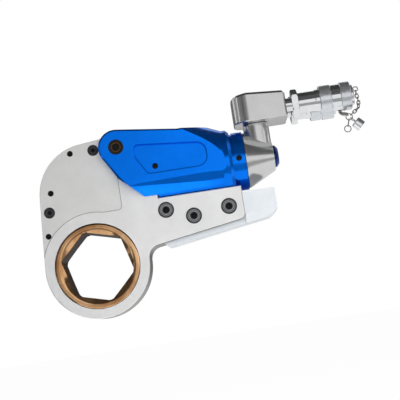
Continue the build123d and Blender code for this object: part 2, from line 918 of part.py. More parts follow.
def rod_seal():
    """Seal behind the bush."""
    left = barrel_left_x + bush_length + moving_gap
    seal = rod_x(bush_radius, left, left + rod_seal_length, z=head_axis_z)
    return seal - rod_x(rod_radius + running_gap, 0, bore_left_x, z=head_axis_z)


def piston():
    """Piston with its seal groove."""
    left = piston_right_x - piston_length
    middle = (left + piston_right_x) / 2
    piston = rod_x(bore_radius - running_gap, left, piston_right_x, z=head_axis_z)
    groove = rod_x(
        bore_radius,
        middle - piston_groove_width / 2,
        middle + piston_groove_width / 2,
        z=head_axis_z,
    )
    groove -= rod_x(bore_radius - piston_groove_depth, left, piston_right_x, z=head_axis_z)
    piston -= groove
    return piston - rod_x(rod_spigot_radius + seat_gap, left, piston_right_x, z=head_axis_z)


def piston_seal():
    """Ring seal in the piston's groove."""
    middle = piston_right_x - piston_length / 2
    reach = piston_groove_width / 2 - seat_gap
    ring = rod_x(bore_radius - running_gap, middle - reach, middle + reach, z=head_axis_z)
    core = rod_x(
        bore_radius - piston_groove_depth + seat_gap, middle - reach, middle + reach, z=head_axis_z
    )
    return ring - core


def piston_rod():
    """Rod with its slotted end round the drive pin."""
    piston_left = piston_right_x - piston_length
    rod = rod_x(rod_radius, drive_pin_rest_x, piston_left, z=head_axis_z)
    rod += rod_x(rod_spigot_radius, piston_left, piston_right_x, z=head_axis_z)
    eye = RectangleRounded(2 * rod_eye_half_length, 2 * rod_eye_half_height, rod_eye_corner_radius)
    width = lever_inner - moving_gap
    rod += slab(Pos(drive_pin_rest_x, head_axis_z) * eye, -width, width)
    slot_width = drive_pin_radius + joint_gap
    slot = SlotOverall(2 * (slot_width + rod_slot_rise), 2 * slot_width, rotation=90)
    return rod - slab(Pos(drive_pin_rest_x, head_axis_z) * slot, -half, half)


def cylinder_head():
    """Plug that closes the bore and carries the swivel stem."""
    plug = rod_x(bore_radius - running_gap, head_spigot_left_x, head_flange_left_x, z=head_axis_z)
    plug += rod_x(head_flange_radius, head_flange_left_x, collar_right_x, z=head_axis_z)
    plug += rod_x(stem_radius, collar_right_x, stem_end_x, z=head_axis_z)
    plug += rod_x(stem_thread_radius, stem_end_x, stem_end_x + stem_thread_length, z=head_axis_z)
    return plug - Pos(head_groove_x, 0, head_axis_z) * Rot(0, 90, 0) * head_ring(seat_gap)


def head_ring(gap):
    """Ring seal round the plug, or its groove with a gap."""
    return Torus(bore_radius - head_ring_wire - running_gap, head_ring_wire + gap)


def stem_nut():
    """Domed nut on the stem's end."""
    dome = turned(
        [
            (stem_end_x + running_gap, 0),
            (stem_end_x + running_gap, stem_nut_radius),
            (stem_end_x + stem_nut_rim, stem_nut_radius),
            (stem_end_x + stem_nut_length, stem_nut_face_radius),
            (stem_end_x + stem_nut_length, 0),
        ],
        z=head_axis_z,
    )
    rim = dome.edges().filter_by(GeomType.CIRCLE).sort_by(Axis.X)[-1]
    dome = fillet(rim, stem_nut_rim)
    room = stem_end_x + stem_thread_length + seat_gap
    return dome - rod_x(stem_thread_radius + running_gap, stem_end_x, room, z=head_axis_z)


# Swivel cap, block and fittings

def swivel_cap():
    """Cone round the stem with the post that carries the block."""
    cap = turned(
        [
            (cap_left_x, 0),
            (cap_left_x, cap_large_radius),
            (cap_left_x + cap_rim_length, cap_large_radius),
            (cap_right_x, cap_small_radius),
            (cap_right_x, 0),
        ],
        z=head_axis_z,
    )
    cap += rod_z(post_radius, head_axis_z, post_top_z, x=post_x)
    cap += rod_z(spigot_radius, post_top_z, spigot_top_z, x=post_x)
    cap -= rod_x(stem_radius + running_gap, cap_left_x, cap_right_x, z=head_axis_z)
    shank_floor = spigot_top_z - screw_shank_length - seat_gap
    return cap - rod_z(screw_shank_radius + seat_gap, shank_floor, spigot_top_z, x=post_x)


def block_plan():
    """Plan outline of the block with its round nose."""
    length = block_right_x - block_left_x
    plan = Pos(block_left_x, 0) * Rectangle(
        length, 2 * block_half_width, align=(Align.MIN, Align.CENTER)
    )
    plan = fillet(plan.vertices().sort_by(Axis.X)[:2], block_nose_radius)
    return fillet(plan.vertices().sort_by(Axis.X)[-2:], block_corner_radius)


def above_top(tilt):
    """What a bevelled top that falls away from the ridge leaves above it."""
    crown = extrude(block_plan(), block_top_bevel, taper=bevel_angle)
    stock = Pos(block_ridge_x, 0) * Box(
        cut_reach, cut_reach, block_ridge_height, align=(Align.CENTER, Align.CENTER, Align.MIN)
    )
    ridge = Pos(block_ridge_x, 0, block_bottom_z + block_ridge_height) * Rot(0, tilt, 0)
    return ridge * Pos(-block_ridge_x, 0, -block_top_bevel) * (stock - crown)


def swivel_block():
    """Block with a round nose and a ridged top that turns on the post and feeds both nipples."""
    block = Pos(0, 0, block_bottom_z) * extrude(block_plan(), block_ridge_height + cut_overrun)
    block = chamfer(block.faces().sort_by(Axis.Z)[0].edges(), block_foot_bevel)
    for tilt in (block_top_slope, -block_nose_slope):
        block -= above_top(tilt)
    block -= rod_z(spigot_radius + running_gap, block_bottom_z, screw_top_z, x=post_x)
    head_floor = spigot_top_z - seat_gap
    head_room = screw_top_z + block_ridge_height
    block -= rod_z(screw_head_radius + seat_gap, head_floor, head_room, x=post_x)
    for y in port_places:
        block -= rod_x(nipple_radius + seat_gap, nipple_left_x, block_right_x, y, port_z)
    return block


def swivel_screw():
    """Flat headed screw on the post that keeps the block from lifting off."""
    screw = rod_z(screw_head_radius, spigot_top_z, screw_top_z, x=post_x)
    screw += rod_z(screw_shank_radius, spigot_top_z - screw_shank_length, screw_top_z, x=post_x)
    key = RegularPolygon(screw_key_across_flats / 2, 6, major_radius=False)
    return screw - Pos(post_x, 0, screw_top_z) * extrude(key, -screw_key_depth)


def nipple(y):
    """Threaded tube from the block into the coupler."""
    tube = rod_x(nipple_radius, nipple_left_x, nipple_right_x, y, port_z)
    return tube - rod_x(nipple_bore_radius, nipple_left_x, nipple_right_x, y, port_z)


def nipple_nut(y):
    """Hexagon nut on the nipple, its corners turned off."""
    nut = RegularPolygon(nut_across_flats / 2, 6, major_radius=False)
    body = extrude(nut, nut_right_x - nut_left_x)
    corner_radius = nut_across_flats / 3**0.5
    limit = turned(
        [
            (0, 0),
            (0, corner_radius - nut_corner_break),
            (nut_corner_break, corner_radius),
            (nut_right_x - nut_left_x - nut_corner_break, corner_radius),
            (nut_right_x - nut_left_x, corner_radius - nut_corner_break),
            (nut_right_x - nut_left_x, 0),
        ]
    )
    body = (Rot(0, 90, 0) * body) & limit
    body = Pos(nut_left_x, y, port_z) * body
    return body - rod_x(nipple_radius + running_gap, nut_left_x, nut_right_x, y, port_z)


def coupler_body(side):
    """Inner body of a quick coupler, open at its socket."""
    y = port_places[side]
    shoulder_x = sleeve_left_x[side] - sleeve_neck_length
    right_x = sleeve_right_x[side] - coupler_core_overlap
    body = turned(
        [
            (coupler_left_x, 0),
            (coupler_left_x, coupler_neck_radius),
            (shoulder_x, coupler_neck_radius),
            (shoulder_x + coupler_shoulder_length, coupler_core_radius),
            (right_x, coupler_core_radius),
            (right_x, 0),
        ],
        y,
        port_z,
    )
    body -= rod_x(nipple_radius + running_gap, coupler_left_x, nipple_right_x, y, port_z)
    return body - rod_x(coupler_socket_radius, right_x - coupler_socket_depth, right_x, y, port_z)


def coupler_sleeve(side):
    """Release sleeve with its smooth ring, waist and grip ring."""
    left = sleeve_left_x[side]
    waist_left = left + sleeve_ring_length[side]
    grip_left = waist_left + sleeve_waist_length[side]
    right = sleeve_right_x[side]
    waist_break = sleeve_ring_radius - sleeve_waist_radius
    grip_break = min(sleeve_edge_break, sleeve_waist_length[side] / 2)
    sleeve = turned(
        [
            (left, 0),
            (left, sleeve_ring_radius - sleeve_edge_break),
            (left + sleeve_edge_break, sleeve_ring_radius),
            (waist_left - waist_break, sleeve_ring_radius),
            (waist_left, sleeve_waist_radius),
            (grip_left, sleeve_waist_radius),
            (grip_left + grip_break, sleeve_grip_radius),
            (right - sleeve_edge_break, sleeve_grip_radius),
            (right, sleeve_grip_radius - sleeve_edge_break),
            (right, 0),
        ],
        port_places[side],
        port_z,
    )
    bore = coupler_core_radius + running_gap
    return sleeve - rod_x(bore, left, right, port_places[side], port_z)


def dust_plug(side):
    """Plug in the coupler's socket with a disc in front and an eye for the chain."""
    y = port_places[side]
    disc_left = sleeve_right_x[side] + joint_gap
    plug = rod_x(plug_disc_radius, disc_left, plug_right_x[side], y, port_z)
    plug = chamfer(plug.edges().sort_by(Axis.X)[-1], sleeve_edge_break)
    plug += rod_x(plug_shank_radius, disc_left - plug_shank_length, disc_left, y, port_z)
    neck = Vector(1, 0, 0)
    place = Plane(origin=eye_places[side], x_dir=neck, z_dir=eye_pull(side) * -1)
    return plug + place * chain_eye()


# Chain, ring and dangling cap

def chain_eye():
    """Wire eye in X and Z, centred on the origin, with the neck that joins it to its piece."""
    eye = Rot(90, 0, 0) * Torus(eye_inner_radius + eye_wire_radius, eye_wire_radius)
    return eye + rod_x(eye_wire_radius, -eye_stand_off, -eye_inner_radius - eye_wire_radius)


def chain_link(length):
    """One stadium shaped link in X and Z, centred on the origin."""
    bend = link_width / 2 - link_wire_radius
    reach = length / 2 - link_width / 2
    start = Pos(bend, 0, 0) * Circle(link_wire_radius)
    half_turn = revolve(start, Axis.Y, 180)
    link = Pos(0, 0, -reach) * half_turn
    link += Pos(0, 0, reach) * Rot(0, 180, 0) * half_turn
    for sign in (-1, 1):
        link += rod_z(link_wire_radius, -reach, reach, x=sign * bend)
    return link


def link_place(centre, direction, across):
    """Where a link stands whose length runs along a direction, its width across it."""
    width = across - direction * across.dot(direction)
    return Plane(origin=centre, x_dir=width, z_dir=direction)


def hung_on(direction, wire_radius):
    """Centre line of a bend that hangs in the junction ring and pulls in a direction."""
    outward = Vector(direction.X, 0, direction.Z).normalized()
    hook = junction + outward * junction_ring_radius
    return hook - direction * (link_wire_radius + wire_radius + running_gap)


def hung_width(direction):
    """Width direction of a piece that hangs in the junction ring."""
    tangent = Vector(0, 1, 0).cross(direction).normalized()
    return tangent.cross(direction)


def tilted(angle):
    """Direction in X and Z that points an angle below +X."""
    x, z = polar(1, -angle)
    return Vector(x, 0, z)


def eye_pull(side):
    """Direction in which a chain pulls on its plug's eye, square to the eye's neck."""
    way = Vector(*chain_bends[side][0]) - eye_places[side]
    return Vector(0, way.Y, way.Z).normalized()


def chain_path(side):
    """Line of a chain from the wire of its plug's eye over its bends to the junction ring."""
    bends = [Vector(*bend) for bend in chain_bends[side]]
    first = eye_places[side] + eye_pull(side) * (eye_inner_radius + eye_wire_radius)
    way = (bends[-1] - junction).normalized()
    last = junction + Vector(way.X, 0, way.Z).normalized() * junction_ring_radius
    return Spline([first, *bends, last], tangents=[eye_pull(side), way * -1])


def chain_run(side):
    """Links from a plug's eye to the junction ring, every second one turned."""
    path = chain_path(side)
    first = link_inner_reach - eye_wire_radius - running_gap
    last = path.length - link_inner_reach + link_wire_radius + running_gap
    count = round((last - first) / link_pitch)
    start = Vector(1, 0, 0).cross(path % 0)
    end = hung_width((path % 1) * -1)
    if count % 2 == 1:
        end = (path % 1).cross(end)
    if end.dot(start) < 0:
        end = end * -1
    links = []
    for index in range(count + 1):
        along = (first + index * (last - first) / count) / path.length
        direction = path % along
        across = start + (end - start) * (index / count)
        if index % 2 == 1:
            across = across.cross(direction)
        links.append(link_place(path @ along, direction, across) * chain_link(link_length))
    return links


def ring_link_place():
    """Place of the long link that hangs in the junction ring."""
    direction = tilted(ring_link_tilt)
    top = hung_on(direction, link_wire_radius)
    centre = top + direction * (ring_link_length / 2 - link_wire_radius)
    return link_place(centre, direction, hung_width(direction))


def chain_links():
    """Both chains with the ring that joins them and the long link below it."""
    ring = Pos(*junction) * Rot(90, 0, 0) * Torus(junction_ring_radius, link_wire_radius)
    long_link = ring_link_place() * chain_link(ring_link_length)
    return [*chain_run(sides[0]), *chain_run(sides[-1]), ring, long_link]


def split_ring():
    """Ring at the long link's lower end."""
    low = ring_link_length / 2 - link_wire_radius
    reach = low - 2 * link_wire_radius - running_gap + ring_radius
    ring = Rot(0, 90, 0) * Torus(ring_radius, link_wire_radius)
    return ring_link_place() * Pos(0, 0, reach) * ring


def dangling_cap():
    """Cup shaped dust cap that hangs aslant in the junction ring by its eye."""
    cup_end = eye_stand_off + dangling_cap_length
    cup = rod_x(dangling_cap_radius, eye_stand_off, cup_end)
    rim = cup.edges().sort_by(Axis.X)[0]
    cup = fillet(rim, dangling_cap_wall)
    room_left = eye_stand_off + dangling_cap_wall
    cup -= rod_x(dangling_cap_radius - dangling_cap_wall, room_left, cup_end)
    cup += Rot(0, 0, 180) * chain_eye()
    direction = tilted(dangling_cap_tilt)
    top = hung_on(direction, eye_wire_radius)
    centre = top + direction * (eye_inner_radius + eye_wire_radius)
    return Plane(origin=centre, x_dir=direction, z_dir=hung_width(direction)) * cup


# The whole tool

outline = cassette_outline()
cover = cover_outline(outline)
front_plate = side_plate(outline, cover)
front_cover = cover_plate(cover)

pieces = {
    "side_plate_front": front_plate,
    "side_plate_rear": mirror(front_plate, about=Plane.XZ),
    "cover_plate_front": front_cover,
    "cover_plate_rear": mirror(front_cover, about=Plane.XZ),
    "nose_band": nose_band(outline),
    "dowel_pins": group(dowels()),
    "plate_screws": group(plate_screws()),
    "cover_screws": group(cover_screws()),
    "reaction_arm": reaction_arm(),
    "ratchet_wheel": ratchet_wheel(),
    "holding_pawl": holding_pawl(),
    "pawl_pin": pawl_pin(),
    "pawl_spring": pawl_spring(),
    "release_pin": release_pin(),
    "lever_plate_front": lever_plate(),
    "lever_plate_rear": mirror(lever_plate(), about=Plane.XZ),
    "drive_pin": drive_pin(),
    "shoe_guide": shoe_guide(),
    "shoe_springs": group(shoe_springs()),
    "drive_shoe": drive_shoe(),
    "power_head": power_head(),
    "link_bolt": link_bolt(),
    "link_nut": link_nut(),
    "rod_bush": rod_bush(),
    "rod_seal": rod_seal(),
    "piston": piston(),
    "piston_seal": piston_seal(),
    "piston_rod": piston_rod(),
    "cylinder_head": cylinder_head(),
    "head_seal": Pos(head_groove_x, 0, head_axis_z) * Rot(0, 90, 0) * head_ring(0),
    "stem_nut": stem_nut(),
    "swivel_cap": swivel_cap(),
    "swivel_block": swivel_block(),
    "swivel_screw": swivel_screw(),
    "hose_nipples": group([nipple(y) for y in port_places]),
    "nipple_nuts": group([nipple_nut(y) for y in port_places]),
    "coupler_bodies": group([coupler_body(side) for side in sides]),
    "coupler_sleeve_front": coupler_sleeve(sides[0]),
    "coupler_sleeve_rear": coupler_sleeve(sides[-1]),
    "dust_plugs": group([dust_plug(side) for side in sides]),
    "chain_links": group(chain_links()),
    "split_ring": split_ring(),
    "dust_cap": dangling_cap(),
}

os.makedirs("parts", exist_ok=True)
for name, piece in pieces.items():
    export_step(piece, f"parts/{name}.step")
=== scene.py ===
import json
from collections import namedtuple
from functools import cache
from math import cos, radians, sin

import bpy
from bpy.props import FloatProperty, FloatVectorProperty, PointerProperty
from mathutils import Matrix, Vector


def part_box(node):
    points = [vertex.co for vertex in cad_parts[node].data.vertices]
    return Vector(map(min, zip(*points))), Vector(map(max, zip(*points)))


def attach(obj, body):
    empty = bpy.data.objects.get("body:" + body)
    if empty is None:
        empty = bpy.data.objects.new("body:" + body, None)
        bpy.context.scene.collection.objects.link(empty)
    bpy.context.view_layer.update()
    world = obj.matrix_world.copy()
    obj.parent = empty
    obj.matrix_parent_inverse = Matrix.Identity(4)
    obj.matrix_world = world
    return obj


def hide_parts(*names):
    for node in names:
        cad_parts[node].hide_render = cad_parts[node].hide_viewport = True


bl_info = {
    "name": "Hydraulic torque wrench",
    "version": (1, 0, 0),
    "blender": (4, 5, 0),
    "location": "3D View > Sidebar > Wrench",
    "description": "Machined edges, turned screws and metal finishes for the torque wrench",
    "category": "Object",
}

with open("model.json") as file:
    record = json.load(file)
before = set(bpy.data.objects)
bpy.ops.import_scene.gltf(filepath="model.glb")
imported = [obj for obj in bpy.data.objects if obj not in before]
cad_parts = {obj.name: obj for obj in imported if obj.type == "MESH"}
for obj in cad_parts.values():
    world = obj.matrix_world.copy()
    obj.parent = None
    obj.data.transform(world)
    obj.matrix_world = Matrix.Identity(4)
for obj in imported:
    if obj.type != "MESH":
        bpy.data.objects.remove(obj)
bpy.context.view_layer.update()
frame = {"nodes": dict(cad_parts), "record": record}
nodes = frame["nodes"]

MM = 0.001

MERGE_DISTANCE = 0.001 * MM
FACE_TOLERANCE = 0.02 * MM
RIM_TOLERANCE = 0.1 * MM
FLAT_ANGLE = radians(0.4)
SHARP_ANGLE = radians(25)
WALL_NORMAL = 0.2
FACE_NORMAL = 0.9

# Every bolt and pin of the wrench lies along Y
INWARD = Vector((0, 1, 0))
INWARD_TURN = INWARD.to_track_quat("Z", "Y").to_euler()

# A lamp's energy is the name of the stage setting that holds it
Lamp = namedtuple("Lamp", "size place energy")
Card = namedtuple("Card", "size place level flat", defaults=(False,))


def colour(red, green, blue):
    """Linear colour of an 8 bit screen colour."""
    values = []
    for channel in (red, green, blue):
        share = channel / 255
        values.append(share / 12.92 if share <= 0.04045 else ((share + 0.055) / 1.055) ** 2.4)
    return tuple(values)


def colour_property(name, description, *channels):
    """Colour setting whose default is an 8 bit screen colour."""
    return FloatVectorProperty(
        name=name, description=description, default=colour(*channels), subtype="COLOR", min=0, max=1
    )


def length_property(name, description, default):
    """Length setting in metres."""
    return FloatProperty(name=name, description=description, default=default, unit="LENGTH", min=0)


def power_property(name, description, default):
    """Lamp power setting in watts."""
    return FloatProperty(name=name, description=description, default=default, unit="POWER", min=0)


class WrenchColours(bpy.types.PropertyGroup):
    """Base colours of the finishes."""

    plate: colour_property("Plates", "Ground and plated side plates", 236, 236, 236)
    cover: colour_property("Covers", "Inlaid covers, darker than the plates", 228, 228, 227)
    # Painted shade: this darker grey on the plates' side walls, the nose band and the swivel
    # block's broken edges stands for the shade they take.
    edge: colour_property("Plate walls", "Milled side walls of the plates", 130, 128, 124)
    # Painted shade on the broken edges of the plates, covers and reaction arm and on the wall under
    # the plates' tail; round the covers it is also their dark joint.
    seam: colour_property("Seam", "Dark side walls of the covers", 66, 65, 63)
    foot: colour_property("Foot", "Freshly milled reaction arm", 238, 243, 248)
    blue: colour_property("Anodising", "Blue anodised aluminium", 0, 118, 243)
    navy: colour_property("Stem nut", "Darker blue of the stem nut", 22, 52, 120)
    bronze: colour_property("Bronze", "Copper coloured hub", 240, 194, 146)
    ring: colour_property("Screw rings", "Worn face of the large screws", 128, 130, 133)
    bronze_deep: colour_property("Deep bronze", "Darker clouds of the hub's plating", 178, 130, 88)
    # Painted shade: this dark brown stands for the shade deep in the hexagon's bore.
    bore: colour_property("Broached bore", "Darker flanks of the hexagon", 52, 35, 20)
    black: colour_property("Blackened steel", "Screws, bolts and pins", 58, 58, 60)
    jet: colour_property("Bolt rim", "Phosphated rim of the link bolt", 30, 30, 31)
    # Painted shade: nearly black for the dark of key sockets, dowel holes and blind holes.
    recess: colour_property("Deep recesses", "Key sockets, dowels and blind holes", 16, 16, 17)
    bare: colour_property("Bare steel", "Machined swivel cap and block", 206, 206, 206)
    bright: colour_property("Bright plating", "Couplers, nuts and nipples", 226, 228, 230)
    # Painted sheen: the lighter grey on the flat faces of the large screws' heads.
    chain: colour_property("Chain", "Nickel plated chain and ring", 168, 166, 162)
    blasted: colour_property("Knurled rings", "Matt knurled coupler rings", 212, 216, 220)
    tool: colour_property("Hardened steel", "Ratchet shoe, pawl, lever and piston", 150, 150, 154)
    aged: colour_property("Aged bolt ring", "Bronze tinted ring of the link bolt", 120, 88, 54)
    seal: colour_property("Seal rubber", "Black seals", 24, 24, 26)
    floor: colour_property("Floor", "Pale studio floor", 246, 246, 246)


class WrenchEdges(bpy.types.PropertyGroup):
    """Widths of the machined edge breaks."""

    plate: length_property("Plate edges", "Break on the plates' edges", 0.35 * MM)
    arm: length_property("Arm edges", "Break on the reaction arm's edges", 0.49 * MM)
    ear: length_property("Ear chamfer", "Chamfer round the power head's flats", 1.7 * MM)
    rim: length_property("Pocket rim", "Rounding round the pocket of the flats", 1.0 * MM)
    hub: length_property("Hub mouth", "Rounding of the hub's mouth", 1.5 * MM)
    hub_rim: length_property("Hub rim", "Rounding of the hub's outer rim", 0.975 * MM)
    head: length_property("Head edges", "Break on the power head's edges", 0.45 * MM)
    cap: length_property("Cap edges", "Break on the swivel cap", 0.4 * MM)
    block: length_property("Block edges", "Break on the swivel block", 0.48 * MM)
    fine: length_property("Fine edges", "Break on screws and small turned parts", 0.15 * MM)


class WrenchScrews(bpy.types.PropertyGroup):
    """Shank and key sizes of the fasteners, and the socket's size."""

    plate_shank: length_property("Plate screw shank", "Radius of the plate screws' shank", 4 * MM)
    plate_key: length_property("Plate screw key", "Plate screws' key across its flats", 5 * MM)
    cover_shank: length_property("Cover screw shank", "Radius of the cover screws' shank", 2.5 * MM)
    cover_key: length_property("Cover screw key", "Cover screws' key across its flats", 3 * MM)
    rim: length_property("Screw rim", "Straight rim above the countersink", 0.8 * MM)
    groove: length_property("Screw groove", "Depth of the groove round the screws' key", 0.5 * MM)
    link_groove: length_property("Link bolt groove", "Depth of the link bolt's groove", 0.7 * MM)
    link_shank: length_property("Link bolt shank", "Radius of the link bolt's shank", 5 * MM)
    link_thread: length_property("Link bolt thread", "Radius of the link bolt's thread", 3 * MM)
    link_key: length_property("Link bolt key", "Link bolt's key across its flats", 6 * MM)
    socket_flats: length_property("Socket", "Hexagon socket across its flats", 60 * MM)


class WrenchHead(bpy.types.PropertyGroup):
    """Places on the power head that need a finish or an edge of their own."""

    pocket_x: length_property("Pocket middle", "Middle of the pocket along the cylinder", 82 * MM)
    pocket_rise: length_property("Pocket rise", "Middle of the pocket above the axis", 8 * MM)
    pocket_depth: length_property("Pocket depth", "Depth of the pocket below the flats", 4.5 * MM)
    pocket_hole_x: length_property("Pocket hole", "Place of the pocket's hole", 67 * MM)
    pocket_hole_rise: length_property("Pocket hole rise", "Pocket's hole above the axis", 4.5 * MM)
    collar_hole_x: length_property("Collar hole", "Place of the collar's hole", 145.4 * MM)
    collar_radius: length_property("Collar", "Radius of the collar", 27.8 * MM)
    # The dark finish that these settings bound is painted shade in the holes.
    hole_radius: length_property("Holes", "Reach of the dark finish in a hole", 2.9 * MM)
    hole_depth: length_property("Hole depth", "Depth of the dark finish in the holes", 3.2 * MM)
    hole_lip: length_property("Hole lip", "Blue lip at the mouth of the holes", 0.3 * MM)
    bolt_clear: length_property("Bolt clearance", "Reach round the bolt without a chamfer", 9 * MM)


class WrenchStage(bpy.types.PropertyGroup):
    """Camera, floor, lamps and world."""

    camera_place: FloatVectorProperty(
        name="Camera place",
        description="Where the camera stands",
        default=(0.1172, -1.130, -0.0689),
        unit="LENGTH",
    )
    camera_target: FloatVectorProperty(
        name="Camera target",
        description="Point in the picture's centre",
        default=(0.1033, 0, 0.0488),
        unit="LENGTH",
    )
    camera_roll: FloatProperty(
        name="Camera roll",
        description="Turn about the line of sight",
        default=radians(8.6),
        unit="ROTATION",
    )
    lens: FloatProperty(
        name="Lens", description="Focal length in millimetres", default=107.4, unit="CAMERA"
    )
    floor_height: length_property("Floor height", "Floor below the socket's centre", 0.14)
    floor_size: length_property("Floor size", "Width of the floor", 12.0)
    key_energy: power_property("Key lamp", "Power of the large front lamp", 5.0)
    side_energy: power_property("Side lamp", "Power of the right lamp", 1.5)
    low_energy: power_property("Low lamp", "Power of the lamp under the tool", 1.0)
    world_level: FloatProperty(name="Ambient", description="Strength of the world", default=0.38)


# Modelling helpers

def clear_selection():
    """Leaves edit mode and deselects every object."""
    if bpy.context.mode != "OBJECT":
        bpy.ops.object.mode_set(mode="OBJECT")
    bpy.ops.object.select_all(action="DESELECT")


def pick(piece):
    """Makes one object the selected and active one."""
    clear_selection()
    piece.select_set(True)
    bpy.context.view_layer.objects.active = piece


def settle(piece):
    """Puts an object's place into its mesh."""
    pick(piece)
    bpy.ops.object.transform_apply(location=True, rotation=True, scale=True)


def edit_all(piece):
    """Opens the whole mesh of one object for editing."""
    pick(piece)
    bpy.ops.object.mode_set(mode="EDIT")
    bpy.ops.mesh.select_all(action="SELECT")


def merge_doubles(piece):
    """Joins points that lie together and turns the faces outwards."""
    edit_all(piece)
    bpy.ops.mesh.remove_doubles(threshold=MERGE_DISTANCE)
    bpy.ops.mesh.normals_make_consistent(inside=False)
    bpy.ops.object.mode_set(mode="OBJECT")


def copy_of(node, name):
    """Clean copy of a CAD node: its points merged and its flat faces made whole."""
    mesh = nodes[node].data.copy()
    mesh.name = name
    mesh.materials.clear()
    piece = bpy.data.objects.new(name, mesh)
    bpy.context.scene.collection.objects.link(piece)
    pick(piece)
    if mesh.has_custom_normals:
        bpy.ops.mesh.customdata_custom_splitnormals_clear()
    edit_all(piece)
    bpy.ops.mesh.remove_doubles(threshold=MERGE_DISTANCE)
    bpy.ops.mesh.dissolve_limited(angle_limit=FLAT_ANGLE)
    bpy.ops.object.mode_set(mode="OBJECT")
    return piece


def soften(piece, width, segments=2, angle=35, material=-1):
    """Rounds the sharp edges, in a material of their own if one is named, and smooths the rest."""
    bevel = piece.modifiers.new("edge_break", "BEVEL")
    bevel.width = width
    bevel.segments = segments
    bevel.limit_method = "ANGLE"
    bevel.angle_limit = radians(angle)
    bevel.material = material
    pick(piece)
    bpy.ops.object.modifier_apply(modifier=bevel.name)
    smooth(piece)


def smooth(piece, angle=32):
    """Smooth shading that keeps the flats flat, with sharp edges where the faces meet steeply."""
    pick(piece)
    bpy.ops.object.shade_smooth_by_angle(angle=radians(angle))
    flats = piece.modifiers.new("flat_faces", "WEIGHTED_NORMAL")
    flats.keep_sharp = True
    bpy.ops.object.modifier_apply(modifier=flats.name)


def bevel_edges(piece, keys, width, segments):
    """Bevels the edges that are named by their two points."""
    mesh = piece.data
    pick(piece)
    bpy.context.tool_settings.mesh_select_mode = (False, True, False)
    for group in (mesh.polygons, mesh.edges, mesh.vertices):
        group.foreach_set("select", [False] * len(group))
    for edge in mesh.edges:
        if tuple(sorted(edge.vertices)) in keys:
            edge.select = True
            for index in edge.vertices:
                mesh.vertices[index].select = True
    bpy.ops.object.mode_set(mode="EDIT")
    bpy.ops.mesh.bevel(offset=width, segments=segments, affect="EDGES", clamp_overlap=False)
    bpy.ops.object.mode_set(mode="OBJECT")
    bpy.context.tool_settings.mesh_select_mode = (True, False, False)


def edge_normals(mesh):
    """Normals of the two faces at each edge, which is named by its two points."""
    sides = {}
    for face in mesh.polygons:
        for key in face.edge_keys:
            sides.setdefault(key, []).append(face.normal.copy())
    return {key: normals for key, normals in sides.items() if len(normals) == 2}


def rim_edges(piece, chosen):
    """Sharp edges, as pairs of points, whose middle a test chooses."""
    mesh = piece.data
    keys = set()
    for key, normals in edge_normals(mesh).items():
        if normals[0].angle(normals[1], 0) > SHARP_ANGLE:
            middle = (mesh.vertices[key[0]].co + mesh.vertices[key[1]].co) / 2
            if chosen(middle):
                keys.add(key)
    return keys


def lathe(name, profile, start, sides):
    """Turned solid drawn inwards step by step from its (distance, radius) profile."""
    clear_selection()
    along, radius = profile[0]
    bpy.ops.mesh.primitive_circle_add(
        vertices=sides,
        radius=radius,
        fill_type="NGON",
        location=start + INWARD * along,
        rotation=INWARD_TURN,
    )
    piece = bpy.context.object
    piece.name = name
    settle(piece)
    edit_all(piece)
    for next_along, next_radius in profile[1:]:
        step = INWARD * (next_along - along)
        bpy.ops.mesh.extrude_region_move(TRANSFORM_OT_translate={"value": step})
        centre = start + INWARD * next_along
        bpy.ops.transform.resize(value=[next_radius / radius] * 3, center_override=centre)
        along, radius = next_along, next_radius
    bpy.ops.mesh.select_all(action="SELECT")
    bpy.ops.mesh.normals_make_consistent(inside=False)
    bpy.ops.object.mode_set(mode="OBJECT")
    return piece


def sink_hexagon(piece, place, across, depth, turn=0.0):
    """Cuts a hexagon key socket of a width across its flats and a depth."""
    clear_selection()
    bpy.ops.mesh.primitive_cylinder_add(
        vertices=6, radius=across / 3**0.5, depth=2 * depth, location=place
    )
    cutter = bpy.context.object
    edit_all(cutter)
    bpy.ops.transform.rotate(value=turn, orient_axis="Z", center_override=place)
    bpy.ops.object.mode_set(mode="OBJECT")
    cutter.rotation_euler = INWARD_TURN
    settle(cutter)
    hollow = piece.modifiers.new("key_socket", "BOOLEAN")
    hollow.operation = "DIFFERENCE"
    hollow.solver = "EXACT"
    hollow.object = cutter
    pick(piece)
    bpy.ops.object.modifier_apply(modifier=hollow.name)
    bpy.data.objects.remove(cutter)


def joined(name, pieces):
    """Several loose solids made one piece."""
    clear_selection()
    for piece in pieces:
        piece.select_set(True)
    bpy.context.view_layer.objects.active = pieces[0]
    bpy.ops.object.join()
    pieces[0].name = name
    return pieces[0]


def reversed_copy(piece):
    """Mirror image of a front piece on the rear side."""
    twin = piece.copy()
    twin.data = piece.data.copy()
    bpy.context.scene.collection.objects.link(twin)
    twin.scale = (1, -1, 1)
    settle(twin)
    merge_doubles(twin)
    return twin


def reach_from(place, centre):
    """Distance of a place from the line along Y through a centre."""
    return Vector((place.x - centre.x, place.z - centre.z)).length


def middle_of(node):
    """Middle of a node's box."""
    low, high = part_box(node)
    return (low + high) / 2


def solid_boxes(node):
    """Boxes of a CAD node's separate solids."""
    edit_all(copy_of(node, node + "_count"))
    bpy.ops.mesh.separate(type="LOOSE")
    bpy.ops.object.mode_set(mode="OBJECT")
    boxes = []
    for solid in list(bpy.context.selected_objects):
        places = [vertex.co for vertex in solid.data.vertices]
        low = Vector([min(place[axis] for place in places) for axis in range(3)])
        high = Vector([max(place[axis] for place in places) for axis in range(3)])
        boxes.append((low, high))
        bpy.data.objects.remove(solid)
    return boxes


def second_finish(piece, finish, chosen):
    """Gives one more finish to the faces that a test chooses by their centre and normal."""
    piece.data.materials.append(finishes()[finish])
    index = len(piece.data.materials) - 1
    for face in piece.data.polygons:
        if chosen(face.center, face.normal):
            face.material_index = index


